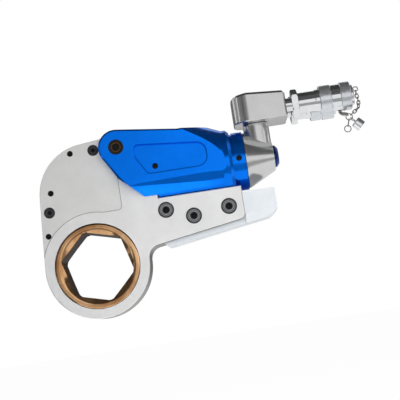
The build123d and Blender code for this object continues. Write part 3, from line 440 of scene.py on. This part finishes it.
def stand_for(node, piece, finish):
    """Puts a finished piece in a CAD node's place and on its body."""
    piece.data.materials.clear()
    piece.data.materials.append(finishes()[finish])
    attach(piece, body_of[node])
    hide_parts(node)
    return piece


def refine(node, finish, width, segments=2):
    """CAD node's copy with broken edges."""
    piece = copy_of(node, node + "_piece")
    soften(piece, width, segments)
    return stand_for(node, piece, finish)


def outlined(node, finish, rim, width, segments=2):
    """CAD node's copy whose broken edges are painted darker than its faces, as painted shade."""
    piece = copy_of(node, node + "_piece")
    for name in (finish, rim):
        piece.data.materials.append(finishes()[name])
    soften(piece, width, segments, material=1)
    marks = [face.material_index for face in piece.data.polygons]
    stand_for(node, piece, finish)
    piece.data.materials.append(finishes()[rim])
    for face, mark in zip(piece.data.polygons, marks):
        face.material_index = mark
    return piece


body_of = {}
for body_name, members in frame["record"]["behaviour"]["bodies"].items():
    for member in members:
        body_of[member] = body_name
slot_of = {row["node"]: row["material_slot"] for row in frame["record"]["subparts"]}


# Finishes

class Finish:
    """Principled material under construction, with textures on object coordinates."""

    def __init__(self, name, base, metallic, roughness):
        self.material = bpy.data.materials.new(name)
        self.material.use_nodes = True
        self.tree = self.material.node_tree
        self.shader = self.tree.nodes["Principled BSDF"]
        self.shader.inputs["Base Color"].default_value = (*base, 1)
        self.shader.inputs["Metallic"].default_value = metallic
        self.shader.inputs["Roughness"].default_value = roughness
        self.place = self.tree.nodes.new("ShaderNodeTexCoord").outputs["Object"]

    def link(self, source, target):
        """Joins two sockets."""
        self.tree.links.new(source, target)

    def stretched(self, scale):
        """Object coordinates scaled by three factors."""
        mapping = self.tree.nodes.new("ShaderNodeMapping")
        mapping.inputs["Scale"].default_value = scale
        self.link(self.place, mapping.inputs["Vector"])
        return mapping.outputs["Vector"]

    def noise(self, scale, detail=3, stretch=(1, 1, 1)):
        """Noise on stretched object coordinates, in features per metre."""
        texture = self.tree.nodes.new("ShaderNodeTexNoise")
        texture.inputs["Scale"].default_value = scale
        texture.inputs["Detail"].default_value = detail
        texture.inputs["Roughness"].default_value = 0.6
        self.link(self.stretched(stretch), texture.inputs["Vector"])
        return texture.outputs["Fac"]

    def remap(self, value, low, high, start=0.3, end=0.7):
        """Spreads a value over a range."""
        spread = self.tree.nodes.new("ShaderNodeMapRange")
        spread.inputs["From Min"].default_value = start
        spread.inputs["From Max"].default_value = end
        spread.inputs["To Min"].default_value = low
        spread.inputs["To Max"].default_value = high
        self.link(value, spread.inputs["Value"])
        return spread.outputs["Result"]

    def blend(self, share, first, second):
        """Mix of two colours by a share."""
        mix = self.tree.nodes.new("ShaderNodeMix")
        mix.data_type = "RGBA"
        mix.inputs["A"].default_value = (*first, 1)
        mix.inputs["B"].default_value = (*second, 1)
        self.link(share, mix.inputs["Factor"])
        return mix.outputs["Result"]

    def rings(self, scale):
        """Turning marks: fine bands that follow each other along X."""
        wave = self.tree.nodes.new("ShaderNodeTexWave")
        wave.wave_type = "BANDS"
        wave.bands_direction = "X"
        wave.inputs["Scale"].default_value = scale
        wave.inputs["Distortion"].default_value = 0.6
        wave.inputs["Detail"].default_value = 2
        self.link(self.place, wave.inputs["Vector"])
        return wave.outputs["Fac"]

    def bump(self, height, strength, distance):
        """Fine relief of the surface."""
        relief = self.tree.nodes.new("ShaderNodeBump")
        relief.inputs["Strength"].default_value = strength
        relief.inputs["Distance"].default_value = distance
        self.link(height, relief.inputs["Height"])
        self.link(relief.outputs["Normal"], self.shader.inputs["Normal"])

    def roughness(self, value):
        """Roughness from a socket."""
        self.link(value, self.shader.inputs["Roughness"])

    def base(self, value):
        """Base colour from a socket."""
        self.link(value, self.shader.inputs["Base Color"])

    def surface(self, value):
        """Another shader in the principled one's stead."""
        self.link(value, self.tree.nodes["Material Output"].inputs["Surface"])


def shade(base, factor):
    """A colour made darker or lighter."""
    return tuple(min(1.0, channel * factor) for channel in base)


def ground_finish(name, base, grain=(1, 1, 1), metallic=0.75, rough=(0.34, 0.42), bump=0.03):
    """Ground and plated steel: soft clouds of tone and a fine grain, which may run one way."""
    finish = Finish(name, base, metallic, sum(rough) / 2)
    clouds = finish.noise(38, detail=4)
    finish.base(finish.blend(finish.remap(clouds, 0, 1), shade(base, 0.93), shade(base, 1.03)))
    finish.roughness(finish.remap(finish.noise(420, detail=4, stretch=grain), *rough))
    finish.bump(finish.noise(2600, detail=2, stretch=grain), bump, 0.02 * MM)
    return finish.material


def anodised_finish(name, base):
    """Dyed anodised aluminium: deep even colour with a fine etched grain."""
    finish = Finish(name, base, 0.92, 0.2)
    clouds = finish.noise(30)
    finish.base(finish.blend(finish.remap(clouds, 0, 1), shade(base, 0.92), shade(base, 1.06)))
    finish.roughness(finish.remap(finish.noise(300, detail=2), 0.17, 0.23))
    finish.bump(finish.noise(1600, detail=2), 0.03, 0.01 * MM)
    return finish.material


def turned_finish(name, base, rough=(0.16, 0.3), pitch=900, metallic=0.95):
    """Turned and plated metal with fine tool marks."""
    finish = Finish(name, base, metallic, sum(rough) / 2)
    clouds = finish.noise(90)
    finish.base(finish.blend(finish.remap(clouds, 0, 1), shade(base, 0.9), shade(base, 1.03)))
    finish.roughness(finish.remap(finish.noise(600), *rough))
    finish.bump(finish.rings(pitch), 0.04, 0.01 * MM)
    return finish.material


def plated_finish(name, base, deep):
    """Polished plating that drifts between two colours, with faint scratches along the bore."""
    finish = Finish(name, base, 1, 0.12)
    clouds = finish.noise(34)
    finish.base(finish.blend(finish.remap(clouds, 0, 1, 0.35, 0.65), deep, base))
    finish.roughness(finish.remap(finish.noise(420, stretch=(1, 0.2, 1)), 0.08, 0.16))
    finish.bump(finish.noise(1500, detail=2, stretch=(1, 0.2, 1)), 0.03, 0.01 * MM)
    return finish.material


def blackened_finish(name, base):
    """Blackened steel with rubbed spots; in its nearly black form it is painted shade in recesses.
    """
    finish = Finish(name, base, 0.55, 0.42)
    spots = finish.remap(finish.noise(500, detail=4), 0, 1, 0.45, 0.75)
    finish.base(finish.blend(spots, shade(base, 0.75), shade(base, 1.9)))
    finish.roughness(finish.remap(finish.noise(900), 0.3, 0.5))
    finish.bump(finish.noise(2400, detail=2), 0.15, 0.02 * MM)
    return finish.material


def dull_finish(name, base):
    """Dark skin that hardly shines: the painted shade on the broached hexagon's flanks, and a
    phosphated surface.
    """
    finish = Finish(name, base, 0, 0.6)
    finish.shader.inputs["Specular IOR Level"].default_value = 0.12
    clouds = finish.noise(60)
    finish.base(finish.blend(finish.remap(clouds, 0, 1), shade(base, 0.6), shade(base, 1.5)))
    finish.roughness(finish.remap(finish.noise(500, stretch=(1, 6, 1)), 0.5, 0.7))
    finish.bump(finish.noise(1800, detail=2), 0.08, 0.02 * MM)
    return finish.material


def rubber_finish(name, base):
    """Black seal rubber."""
    finish = Finish(name, base, 0, 0.55)
    finish.roughness(finish.remap(finish.noise(800), 0.45, 0.65))
    finish.bump(finish.noise(1800, detail=2), 0.15, 0.02 * MM)
    return finish.material


@cache
def finishes():
    """Every finish by its short name, made once."""
    tone = bpy.context.scene.wrench_colours
    return {
        "plate": ground_finish("plate_steel_finish", tone.plate),
        # Painted shade on side walls and broken edges.
        "edge": ground_finish("milled_edge_finish", tone.edge, (6, 1, 6), 0.5, (0.3, 0.42)),
        # Painted shade on broken edges and under the tail, and the covers' dark joint.
        "seam": ground_finish("seam_finish", tone.seam, metallic=0.6, rough=(0.4, 0.5)),
        "cover": ground_finish("cover_steel_finish", tone.cover),
        "foot": ground_finish("foot_steel_finish", tone.foot, rough=(0.3, 0.42)),
        "blue": anodised_finish("blue_anodised_finish", tone.blue),
        "navy": anodised_finish("navy_nut_finish", tone.navy),
        "bronze": plated_finish("bronze_finish", tone.bronze, tone.bronze_deep),
        "black": blackened_finish("dark_screw_finish", tone.black),
        # Painted shade for recesses.
        "recess": blackened_finish("recess_finish", tone.recess),
        # Painted shade on the hexagon's flanks.
        "bore": dull_finish("broached_bore_finish", tone.bore),
        "jet": dull_finish("bolt_rim_finish", tone.jet),
        "bare": ground_finish("bare_steel_finish", tone.bare, (1, 1, 3), 0.97, (0.17, 0.22), 0.01),
        "bright": turned_finish("coupler_steel_finish", tone.bright, (0.1, 0.15), metallic=1),
        "blasted": ground_finish(
            "knurled_ring_finish", tone.blasted, metallic=0.9, rough=(0.27, 0.33), bump=0.05
        ),
        # Painted sheen on the screws' flat faces.
        "ring": turned_finish("screw_ring_finish", tone.ring, (0.3, 0.4), 500, metallic=0.6),
        "tool": ground_finish("tool_steel_finish", tone.tool, metallic=0.95, rough=(0.25, 0.4)),
        "spring": turned_finish("spring_steel_finish", tone.tool),
        "seal": rubber_finish("seal_rubber_finish", tone.seal),
        "aged": turned_finish("aged_bolt_finish", tone.aged, (0.3, 0.5), 500),
        "chain": turned_finish("chain_steel_finish", tone.chain, (0.12, 0.2)),
        "plug": turned_finish("plug_metal_finish", tone.bright, (0.2, 0.28)),
    }


def dress(node, finish):
    """Gives a CAD node that stays its finish."""
    mesh = nodes[node].data
    mesh.materials.clear()
    mesh.materials.append(finishes()[finish])


# Pieces

def is_wall(place, normal):
    """Side walls of the plates, square to their faces; on the plates they take painted shade."""
    return abs(normal.y) < WALL_NORMAL


def is_underside(place, normal):
    """Shaded wall under the plates' tail, next to the reaction bar."""
    return is_wall(place, normal) and normal.z < -FACE_NORMAL and place.z > 0


class WrenchOperator(bpy.types.Operator):
    """Common settings of the piece operators."""

    bl_options = {"REGISTER", "UNDO"}


class WRENCH_OT_plates(WrenchOperator):
    """Side plates and inlaid covers with broken edges."""

    bl_idname = "wrench.plates"
    bl_label = "Plates and covers"

    def execute(self, context):
        width = context.scene.wrench_edges.plate
        for side in ("front", "rear"):
            # Painted shade: the plates' broken edges are painted near black.
            plate = outlined("side_plate_" + side, "plate", "seam", width)
            # Painted shade: the plates' side walls are painted darker grey.
            second_finish(plate, "edge", is_wall)
            # Painted shade on the wall under the tail, next to the reaction bar.
            second_finish(plate, "seam", is_underside)
            # Painted shade on the covers' broken edges; their side walls show their dark joint.
            cover = outlined("cover_plate_" + side, "cover", "seam", width / 2)
            second_finish(cover, "seam", is_wall)
        return {"FINISHED"}


class WRENCH_OT_frame_parts(WrenchOperator):
    """Nose band and reaction arm."""

    bl_idname = "wrench.frame_parts"
    bl_label = "Band and reaction arm"

    def execute(self, context):
        edges = context.scene.wrench_edges
        # Painted shade: the nose band, a side wall, is painted darker grey.
        refine("nose_band", "edge", edges.plate / 2)
        # Painted shade: the arm's broken edges are painted near black.
        outlined("reaction_arm", "foot", "seam", edges.arm)
        return {"FINISHED"}


class WRENCH_OT_screws(WrenchOperator):
    """Socket screws of the plates and covers, with dished heads and deep keys."""

    bl_idname = "wrench.screws"
    bl_label = "Socket screws"

    # Shares of the head's radius
    outer_land, groove_outside, groove_inside, inner_land = 0.86, 0.80, 0.70, 0.64
    ring_start, ring_end = 0.5, 0.89
    # Depth of the ring's faces in depths of its groove
    ring_depth = 1.4
    # Shares of the key's width
    key_mouth, key_floor, key_depth, socket_reach = 0.72, 0.62, 0.9, 0.6
    socket_lip = 0.2 * MM

    def execute(self, context):
        sizes = context.scene.wrench_screws
        self.screws("plate_screws", sizes.plate_shank, sizes.plate_key)
        self.screws("cover_screws", sizes.cover_shank, sizes.cover_key)
        return {"FINISHED"}

    def screws(self, node, shank, key):
        """One screw in each place of the node, front and rear."""
        boxes = solid_boxes(node)
        centres = [(corner + opposite) / 2 for corner, opposite in boxes]
        low, high = next(box for box in boxes if box[0].y < 0)
        radius = (high.x - low.x) / 2
        pieces = []
        for centre in centres:
            if centre.y < 0:
                top = Vector((centre.x, low.y, centre.z))
                screw = self.screw(top, radius, shank, key, high.y - low.y)
                pieces += [screw, reversed_copy(screw)]
        whole = joined(node + "_piece", pieces)
        smooth(whole, angle=25)
        stand_for(node, whole, "black")
        face = abs(low.y)

        def in_socket(place, normal):
            if not face - key <= abs(place.y) <= face - self.socket_lip:
                return False
            return any(reach_from(place, centre) < key * self.socket_reach for centre in centres)

        # Painted shade in the key sockets.
        second_finish(whole, "recess", in_socket)
        if node == "plate_screws":
            self.worn_rings(whole, centres, radius, face)

    def worn_rings(self, whole, centres, radius, face):
        """Lighter ring of painted sheen on the face of each large screw."""
        groove = bpy.context.scene.wrench_screws.groove

        def on_ring(place, normal):
            if abs(place.y) < face - self.ring_depth * groove or abs(normal.y) < FACE_NORMAL:
                return False
            reach = min(reach_from(place, centre) for centre in centres) / radius
            return self.ring_start < reach < self.ring_end

        # Painted sheen: flat faces that face along the screw's axis get the lighter grey.
        second_finish(whole, "ring", on_ring)

    def screw(self, top, radius, shank, key, length):
        """Countersunk screw whose head faces the front, with a groove round its key."""
        sizes = bpy.context.scene.wrench_screws
        rim, groove = sizes.rim, sizes.groove
        profile = [
            (length, shank),
            (rim + radius - shank, shank),
            (rim, radius),
            (groove / 2, radius),
            (0, radius - groove / 2),
            (0, radius * self.outer_land),
            (groove, radius * self.groove_outside),
            (groove, radius * self.groove_inside),
            (0, radius * self.inner_land),
            (0, key * self.key_mouth),
            (groove, key * self.key_floor),
        ]
        screw = lathe("screw", profile, top, sides=72)
        sink_hexagon(screw, top, key, key * self.key_depth)
        return screw


class WRENCH_OT_pins(WrenchOperator):
    """Dowels, link bolt with its nut, release pin and the block's screw."""

    bl_idname = "wrench.pins"
    bl_label = "Pins and bolts"

    # Shares of a dowel's radius
    dowel_step, dowel_lip, dowel_hollow = 0.2, 0.7, 0.5
    # Shares of the link bolt's head radius
    rim_inside, groove_outside, groove_inside = 0.80, 0.74, 0.68
    step_outside, step_inside = 0.62, 0.52
    ring_start, ring_end = 0.5, 0.7
    # Depth of the ring's faces in depths of its groove
    ring_depth = 1.2
    # Shares of the link bolt's key
    key_mouth, key_depth = 0.53, 0.5
    key_turn = radians(15)

    def execute(self, context):
        self.dowels()
        self.link_bolt(context.scene.wrench_screws)
        width = context.scene.wrench_edges.fine
        for node in ("release_pin", "swivel_screw"):
            refine(node, "black", width)
        return {"FINISHED"}

    def dowels(self):
        """Three dowels with chamfered, slightly hollow ends."""
        pieces = []
        for low, high in solid_boxes("dowel_pins"):
            radius = (high.x - low.x) / 2
            length = high.y - low.y
            step = radius * self.dowel_step
            profile = [
                (step, radius * self.dowel_hollow),
                (0, radius * self.dowel_lip),
                (0, radius - step),
                (step, radius),
                (length - step, radius),
                (length, radius - step),
                (length, radius * self.dowel_lip),
                (length - step, radius * self.dowel_hollow),
            ]
            start = Vector(((low.x + high.x) / 2, low.y, (low.z + high.z) / 2))
            pieces.append(lathe("dowel", profile, start, sides=48))
        whole = joined("dowel_pins_piece", pieces)
        smooth(whole)
        # Painted shade: the dowels are nearly black, for the dark of their holes.
        stand_for("dowel_pins", whole, "recess")

    def link_bolt(self, sizes):
        """Bolt with a ringed head in the front ear and a nut in the rear one."""
        low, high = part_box("link_bolt")
        nut_low, nut_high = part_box("link_nut")
        centre = (low + high) / 2
        top = Vector((centre.x, low.y, centre.z))
        radius = (high.x - low.x) / 2
        length = high.y - low.y
        depth = nut_high.y - nut_low.y
        tail = length - depth + RIM_TOLERANCE
        groove = sizes.link_groove
        profile = [
            (length, sizes.link_thread),
            (tail, sizes.link_thread),
            (tail, sizes.link_shank),
            (depth, sizes.link_shank),
            (depth, radius),
            (groove / 2, radius),
            (0, radius - groove / 2),
            (0, radius * self.rim_inside),
            (groove, radius * self.groove_outside),
            (groove, radius * self.groove_inside),
            (groove / 3, radius * self.step_outside),
            (groove / 3, radius * self.step_inside),
            (groove, sizes.link_key * self.key_mouth),
        ]
        bolt = lathe("link_bolt_piece", profile, top, sides=80)
        key = sizes.link_key
        sink_hexagon(bolt, top, key, key * self.key_depth, self.key_turn)
        smooth(bolt, angle=25)
        stand_for("link_bolt", bolt, "black")
        face = abs(low.y)
        self.ring_head(bolt, centre, radius, face - self.ring_depth * groove, face - depth)
        refine("link_nut", "black", bpy.context.scene.wrench_edges.fine)

    def ring_head(self, bolt, centre, radius, ring_floor, head_floor):
        """Black rim, bronze tinted ring and painted shade in the key socket on the bolt's head."""
        def share(place):
            return reach_from(place, centre) / radius

        def on_rim(place, normal):
            return place.y < 0 and share(place) >= self.ring_end

        def on_ring(place, normal):
            return place.y < -ring_floor and self.ring_start < share(place) < self.ring_end

        def in_socket(place, normal):
            return place.y < -head_floor and share(place) < self.ring_start

        second_finish(bolt, "jet", on_rim)
        second_finish(bolt, "aged", on_ring)
        second_finish(bolt, "recess", in_socket)


class WRENCH_OT_ratchet(WrenchOperator):
    """Bronze coloured ratchet wheel with a broached hexagon."""

    bl_idname = "wrench.ratchet"
    bl_label = "Ratchet wheel"

    # Distances past the hexagon's corners that tell its mouth from the hub's rim
    mouth_margin, rim_margin = 1 * MM, 3 * MM

    def execute(self, context):
        edges = context.scene.wrench_edges
        corner = context.scene.wrench_screws.socket_flats / 3**0.5
        axis = Vector()
        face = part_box("ratchet_wheel")[1].y - RIM_TOLERANCE
        wheel = copy_of("ratchet_wheel", "ratchet_wheel_piece")

        def on_mouth(middle):
            return abs(middle.y) > face and reach_from(middle, axis) < corner + self.mouth_margin

        def on_rim(middle):
            return abs(middle.y) > face and reach_from(middle, axis) > corner + self.rim_margin

        bevel_edges(wheel, rim_edges(wheel, on_mouth), edges.hub, segments=4)
        bevel_edges(wheel, rim_edges(wheel, on_rim), edges.hub_rim, segments=3)
        soften(wheel, edges.fine, angle=40)
        stand_for("ratchet_wheel", wheel, "bronze")

        def on_flank(place, normal):
            inward = normal.x * place.x + normal.z * place.z < 0
            return abs(normal.y) < WALL_NORMAL and inward and reach_from(place, axis) < corner

        # Painted shade on the hexagon's inner flanks.
        second_finish(wheel, "bore", on_flank)
        return {"FINISHED"}


class WRENCH_OT_power_head(WrenchOperator):
    """Blue power head with its chamfered ears, and the stem nut."""

    bl_idname = "wrench.power_head"
    bl_label = "Power head"

    def execute(self, context):
        edges = context.scene.wrench_edges
        sizes = context.scene.wrench_head
        head = copy_of("power_head", "power_head_piece")
        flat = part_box("power_head")[1].y
        axis = middle_of("piston_rod")
        self.shape_ears(head, flat - FACE_TOLERANCE, axis, sizes, edges)
        soften(head, edges.head, angle=30)
        stand_for("power_head", head, "blue")
        self.darken_holes(head, flat, axis, sizes)
        refine("stem_nut", "navy", edges.head)
        return {"FINISHED"}

    def darken_holes(self, head, flat, axis, sizes):
        """Painted shade, nearly black, in the pocket's hole and in the collar's hole."""
        pocket_hole = Vector((sizes.pocket_hole_x, 0, axis.z + sizes.pocket_hole_rise))
        collar_hole = Vector((sizes.collar_hole_x, 0, axis.z))
        holes = ((pocket_hole, flat - sizes.pocket_depth), (collar_hole, sizes.collar_radius))

        def in_hole(place, normal):
            for centre, face in holes:
                inside = face - sizes.hole_depth < abs(place.y) < face - sizes.hole_lip
                if inside and reach_from(place, centre) < sizes.hole_radius:
                    return True
            return False

        second_finish(head, "recess", in_hole)

    def shape_ears(self, head, flat, axis, sizes, edges):
        """Wide chamfer round the outline of both flats, and a rounded rim round their pockets."""
        link = middle_of("link_bolt")
        pocket = Vector((sizes.pocket_x, 0, axis.z + sizes.pocket_rise))
        mesh = head.data
        outline, rim = set(), set()
        for key, normals in edge_normals(mesh).items():
            first, second = (mesh.vertices[index].co for index in key)
            if min(abs(first.y), abs(second.y)) < flat or first.y * second.y < 0:
                continue
            wall = min(normals, key=lambda normal: abs(normal.y))
            middle = (first + second) / 2
            if abs(wall.y) > WALL_NORMAL or reach_from(middle, link) < sizes.bolt_clear:
                continue
            outward = wall.x * (middle.x - pocket.x) + wall.z * (middle.z - pocket.z)
            (outline if outward > 0 else rim).add(key)
        places = [[self.rounded(mesh.vertices[index].co) for index in key] for key in rim]
        bevel_edges(head, outline, edges.ear, segments=1)
        index_of = {self.rounded(vertex.co): vertex.index for vertex in mesh.vertices}
        pairs = [[index_of.get(place) for place in pair] for pair in places]
        rim = {tuple(sorted(pair)) for pair in pairs if None not in pair}
        bevel_edges(head, rim, edges.rim, segments=2)

    def rounded(self, place):
        """Place to the thousandth of a millimetre, to find a point again."""
        return tuple(round(value, 6) for value in place)


class WRENCH_OT_swivel(WrenchOperator):
    """Swivel cap and block."""

    bl_idname = "wrench.swivel"
    bl_label = "Swivel"

    def execute(self, context):
        edges = context.scene.wrench_edges
        refine("swivel_cap", "bare", edges.cap, segments=3)
        # Painted shade: the block's broken edges are painted darker grey.
        outlined("swivel_block", "bare", "edge", edges.block, segments=3)
        return {"FINISHED"}


class WRENCH_OT_fittings(WrenchOperator):
    """Nipples, nuts, couplers and plugs."""

    bl_idname = "wrench.fittings"
    bl_label = "Fittings"

    # Depth of the sleeve's waist below its two rings
    waist_step = 0.9 * MM

    def execute(self, context):
        width = context.scene.wrench_edges.fine
        for node in ("hose_nipples", "nipple_nuts", "coupler_bodies"):
            refine(node, "bright", width)
        for node in ("coupler_sleeve_front", "coupler_sleeve_rear"):
            sleeve = refine(node, "blasted", width)
            self.polish_waist(sleeve, node)
        refine("dust_cap", "plug", width)
        dress("dust_plugs", "plug")
        for node in ("chain_links", "split_ring"):
            dress(node, "chain")
        return {"FINISHED"}

    def polish_waist(self, sleeve, node):
        """Bright finish between the two matt rings."""
        low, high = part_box(node)
        middle = (low + high) / 2
        waist = (high.z - low.z) / 2 - self.waist_step

        def on_waist(place, normal):
            return Vector((place.y - middle.y, place.z - middle.z)).length < waist

        second_finish(sleeve, "bright", on_waist)


class WRENCH_OT_inner_parts(WrenchOperator):
    """Finishes of the parts inside."""

    bl_idname = "wrench.inner_parts"
    bl_label = "Inner parts"

    by_slot = {
        "tool_steel": "tool",
        "spring_steel": "spring",
        "seal_rubber": "seal",
        "bronze": "bronze",
        "bare_steel": "bare",
    }

    def execute(self, context):
        for node, item in nodes.items():
            if not item.hide_render and slot_of[node] in self.by_slot:
                dress(node, self.by_slot[slot_of[node]])
        return {"FINISHED"}


def facing(place, target):
    """Turn that makes a lamp or a card look from its place at a target."""
    return (Vector(target) - Vector(place)).to_track_quat("-Z", "Y").to_euler()


def area_lamp(name, lamp, target, power):
    """Soft rectangular lamp that looks at a target."""
    bpy.ops.object.light_add(type="AREA", location=lamp.place)
    item = bpy.context.object
    item.name = name
    item.data.shape = "RECTANGLE"
    item.data.size, item.data.size_y = lamp.size
    item.data.energy = power
    item.visible_camera = False
    item.visible_glossy = False
    item.rotation_euler = facing(lamp.place, target)


def studio_card(name, card, target):
    """Grey studio card that only reflections show, turned to its target or lying flat."""
    turn = (0, 0, 0) if card.flat else facing(card.place, target)
    bpy.ops.mesh.primitive_plane_add(size=1, location=card.place, rotation=turn)
    item = bpy.context.object
    item.name = name
    item.scale = (*card.size, 1)
    grey = (card.level,) * 3
    finish = Finish(name + "_finish", grey, 0, 1)
    emission = finish.tree.nodes.new("ShaderNodeEmission")
    emission.inputs["Color"].default_value = (*grey, 1)
    finish.surface(emission.outputs["Emission"])
    item.data.materials.append(finish.material)
    item.visible_camera = False
    item.visible_diffuse = False
    item.visible_shadow = False
    item.visible_transmission = False


def white_rays(tree):
    """Socket that is one for the rays of the camera, of reflections and of transmission."""
    path = tree.nodes.new("ShaderNodeLightPath")
    seen = path.outputs["Is Camera Ray"]
    for ray in ("Is Glossy Ray", "Is Transmission Ray"):
        both = tree.nodes.new("ShaderNodeMath")
        both.operation = "MAXIMUM"
        tree.links.new(seen, both.inputs[0])
        tree.links.new(path.outputs[ray], both.inputs[1])
        seen = both.outputs["Value"]
    return seen


class WRENCH_OT_stage(WrenchOperator):
    """Floor, lamps, world and camera."""

    bl_idname = "wrench.stage"
    bl_label = "Stage"

    # Share of white that the floor shows by itself
    floor_glow = 0.97
    # The camera's sensor in millimetres and its near and far limits
    sensor, nearest, farthest = 36, 0.01, 50

    lamps = {
        "front_lamp": Lamp((0.7, 0.6), (0.5, -0.75, 0.35), "key_energy"),
        "right_lamp": Lamp((0.7, 0.9), (1.3, -0.7, 0.5), "side_energy"),
        "low_lamp": Lamp((0.8, 0.2), (0.0, -0.5, -0.05), "low_energy"),
    }
    cards = {
        "top_card": Card((4.0, 1.4), (0.1, 0.2, 1.1), 0.05),
        "high_card": Card((4.4, 1.3), (0.1, -0.85, 0.95), 0.1),
        "shade_card": Card((3.4, 3.2), (-1.62, -2.6, 0.3), 0.6),
        "nose_shade": Card((2.4, 3.0), (-1.65, -2.5, 0.3), 0.25),
        "back_card": Card((4.0, 1.6), (0.1, 1.4, 0.1), 0.18),
        "left_card": Card((0.5, 1.0), (-1.0, 0.1, 0.1), 0.3),
        "left_strip": Card((0.2, 1.6), (-0.95, -0.45, 0.1), 0.06),
        "front_strip": Card((0.2, 1.6), (-0.55, -0.97, 0.1), 0.08),
        "low_card": Card((3.6, 0.55), (0.1, -0.52, -0.135), 0.4, flat=True),
        "right_card": Card((0.5, 1.0), (1.2, 0.0, 0.2), 0.3),
        "low_left_card": Card((0.5, 0.5), (-0.38, -0.05, -0.134), 0.05, flat=True),
        "low_light": Card((0.12, 0.1), (0.05, -0.1, -0.134), 1.6, flat=True),
    }

    def execute(self, context):
        clear_selection()
        stage = context.scene.wrench_stage
        centre = Vector(stage.camera_target)
        under = (centre.x, centre.y, -stage.floor_height)
        bpy.ops.mesh.primitive_plane_add(size=stage.floor_size, location=under)
        floor = context.object
        floor.name = "studio_floor"
        settle(floor)
        floor.data.materials.append(self.floor_finish(context.scene.wrench_colours.floor))
        for name, lamp in self.lamps.items():
            area_lamp(name, lamp, centre, getattr(stage, lamp.energy))
        for name, card in self.cards.items():
            studio_card(name, card, centre)
        self.light_world(context.scene, stage.world_level)
        self.place_camera(context.scene, stage)
        return {"FINISHED"}

    def floor_finish(self, base):
        """Pale floor that looks white except where the object's shadow falls."""
        finish = Finish("studio_floor_finish", base, 0, 0.8)
        finish.roughness(finish.remap(finish.noise(3), 0.75, 0.85))
        glow = finish.tree.nodes.new("ShaderNodeEmission")
        share = finish.tree.nodes.new("ShaderNodeMapRange")
        share.inputs["To Max"].default_value = self.floor_glow
        finish.link(white_rays(finish.tree), share.inputs["Value"])
        mix = finish.tree.nodes.new("ShaderNodeMixShader")
        finish.link(share.outputs["Result"], mix.inputs["Fac"])
        finish.link(finish.shader.outputs["BSDF"], mix.inputs[1])
        finish.link(glow.outputs["Emission"], mix.inputs[2])
        finish.surface(mix.outputs["Shader"])
        return finish.material

    def light_world(self, scene, level):
        """White to the eye and in reflections, and a plain level for the light itself."""
        world = bpy.data.worlds.new("studio_world")
        world.use_nodes = True
        scene.world = world
        tree = world.node_tree
        background = tree.nodes["Background"]
        strength = tree.nodes.new("ShaderNodeMapRange")
        strength.inputs["To Min"].default_value = level
        tree.links.new(white_rays(tree), strength.inputs["Value"])
        tree.links.new(strength.outputs["Result"], background.inputs["Strength"])
        background.inputs["Color"].default_value = (1, 1, 1, 1)

    def place_camera(self, scene, stage):
        """Camera at the photograph's angle."""
        place = Vector(stage.camera_place)
        forward = (Vector(stage.camera_target) - place).normalized()
        up = Vector((sin(stage.camera_roll), 0, cos(stage.camera_roll)))
        right = forward.cross(up).normalized()
        up = right.cross(forward)
        turn = Matrix((right, up, -forward)).transposed()
        bpy.ops.object.camera_add(location=place, rotation=turn.to_euler())
        camera = bpy.context.object
        camera.data.lens = stage.lens
        camera.data.sensor_width = self.sensor
        camera.data.clip_start = self.nearest
        camera.data.clip_end = self.farthest
        scene.camera = camera
        scene.view_settings.view_transform = "Standard"


STEPS = (
    WRENCH_OT_plates,
    WRENCH_OT_frame_parts,
    WRENCH_OT_screws,
    WRENCH_OT_pins,
    WRENCH_OT_ratchet,
    WRENCH_OT_power_head,
    WRENCH_OT_swivel,
    WRENCH_OT_fittings,
    WRENCH_OT_inner_parts,
    WRENCH_OT_stage,
)


class WRENCH_PT_panel(bpy.types.Panel):
    """Lists the wrench's operators."""

    bl_idname = "WRENCH_PT_panel"
    bl_label = "Torque wrench"
    bl_space_type = "VIEW_3D"
    bl_region_type = "UI"
    bl_category = "Wrench"

    def draw(self, context):
        for step in STEPS:
            self.layout.operator(step.bl_idname)


GROUPS = {
    "wrench_colours": WrenchColours,
    "wrench_edges": WrenchEdges,
    "wrench_screws": WrenchScrews,
    "wrench_head": WrenchHead,
    "wrench_stage": WrenchStage,
}


def register():
    for name, group in GROUPS.items():
        bpy.utils.register_class(group)
        setattr(bpy.types.Scene, name, PointerProperty(type=group))
    for step in STEPS:
        bpy.utils.register_class(step)
    bpy.utils.register_class(WRENCH_PT_panel)


def unregister():
    bpy.utils.unregister_class(WRENCH_PT_panel)
    for step in reversed(STEPS):
        bpy.utils.unregister_class(step)
    for name, group in GROUPS.items():
        delattr(bpy.types.Scene, name)
        bpy.utils.unregister_class(group)


def main():
    register()
    for step in STEPS:
        area, name = step.bl_idname.split(".")
        getattr(getattr(bpy.ops, area), name)()


if __name__ == "__main__":
    main()
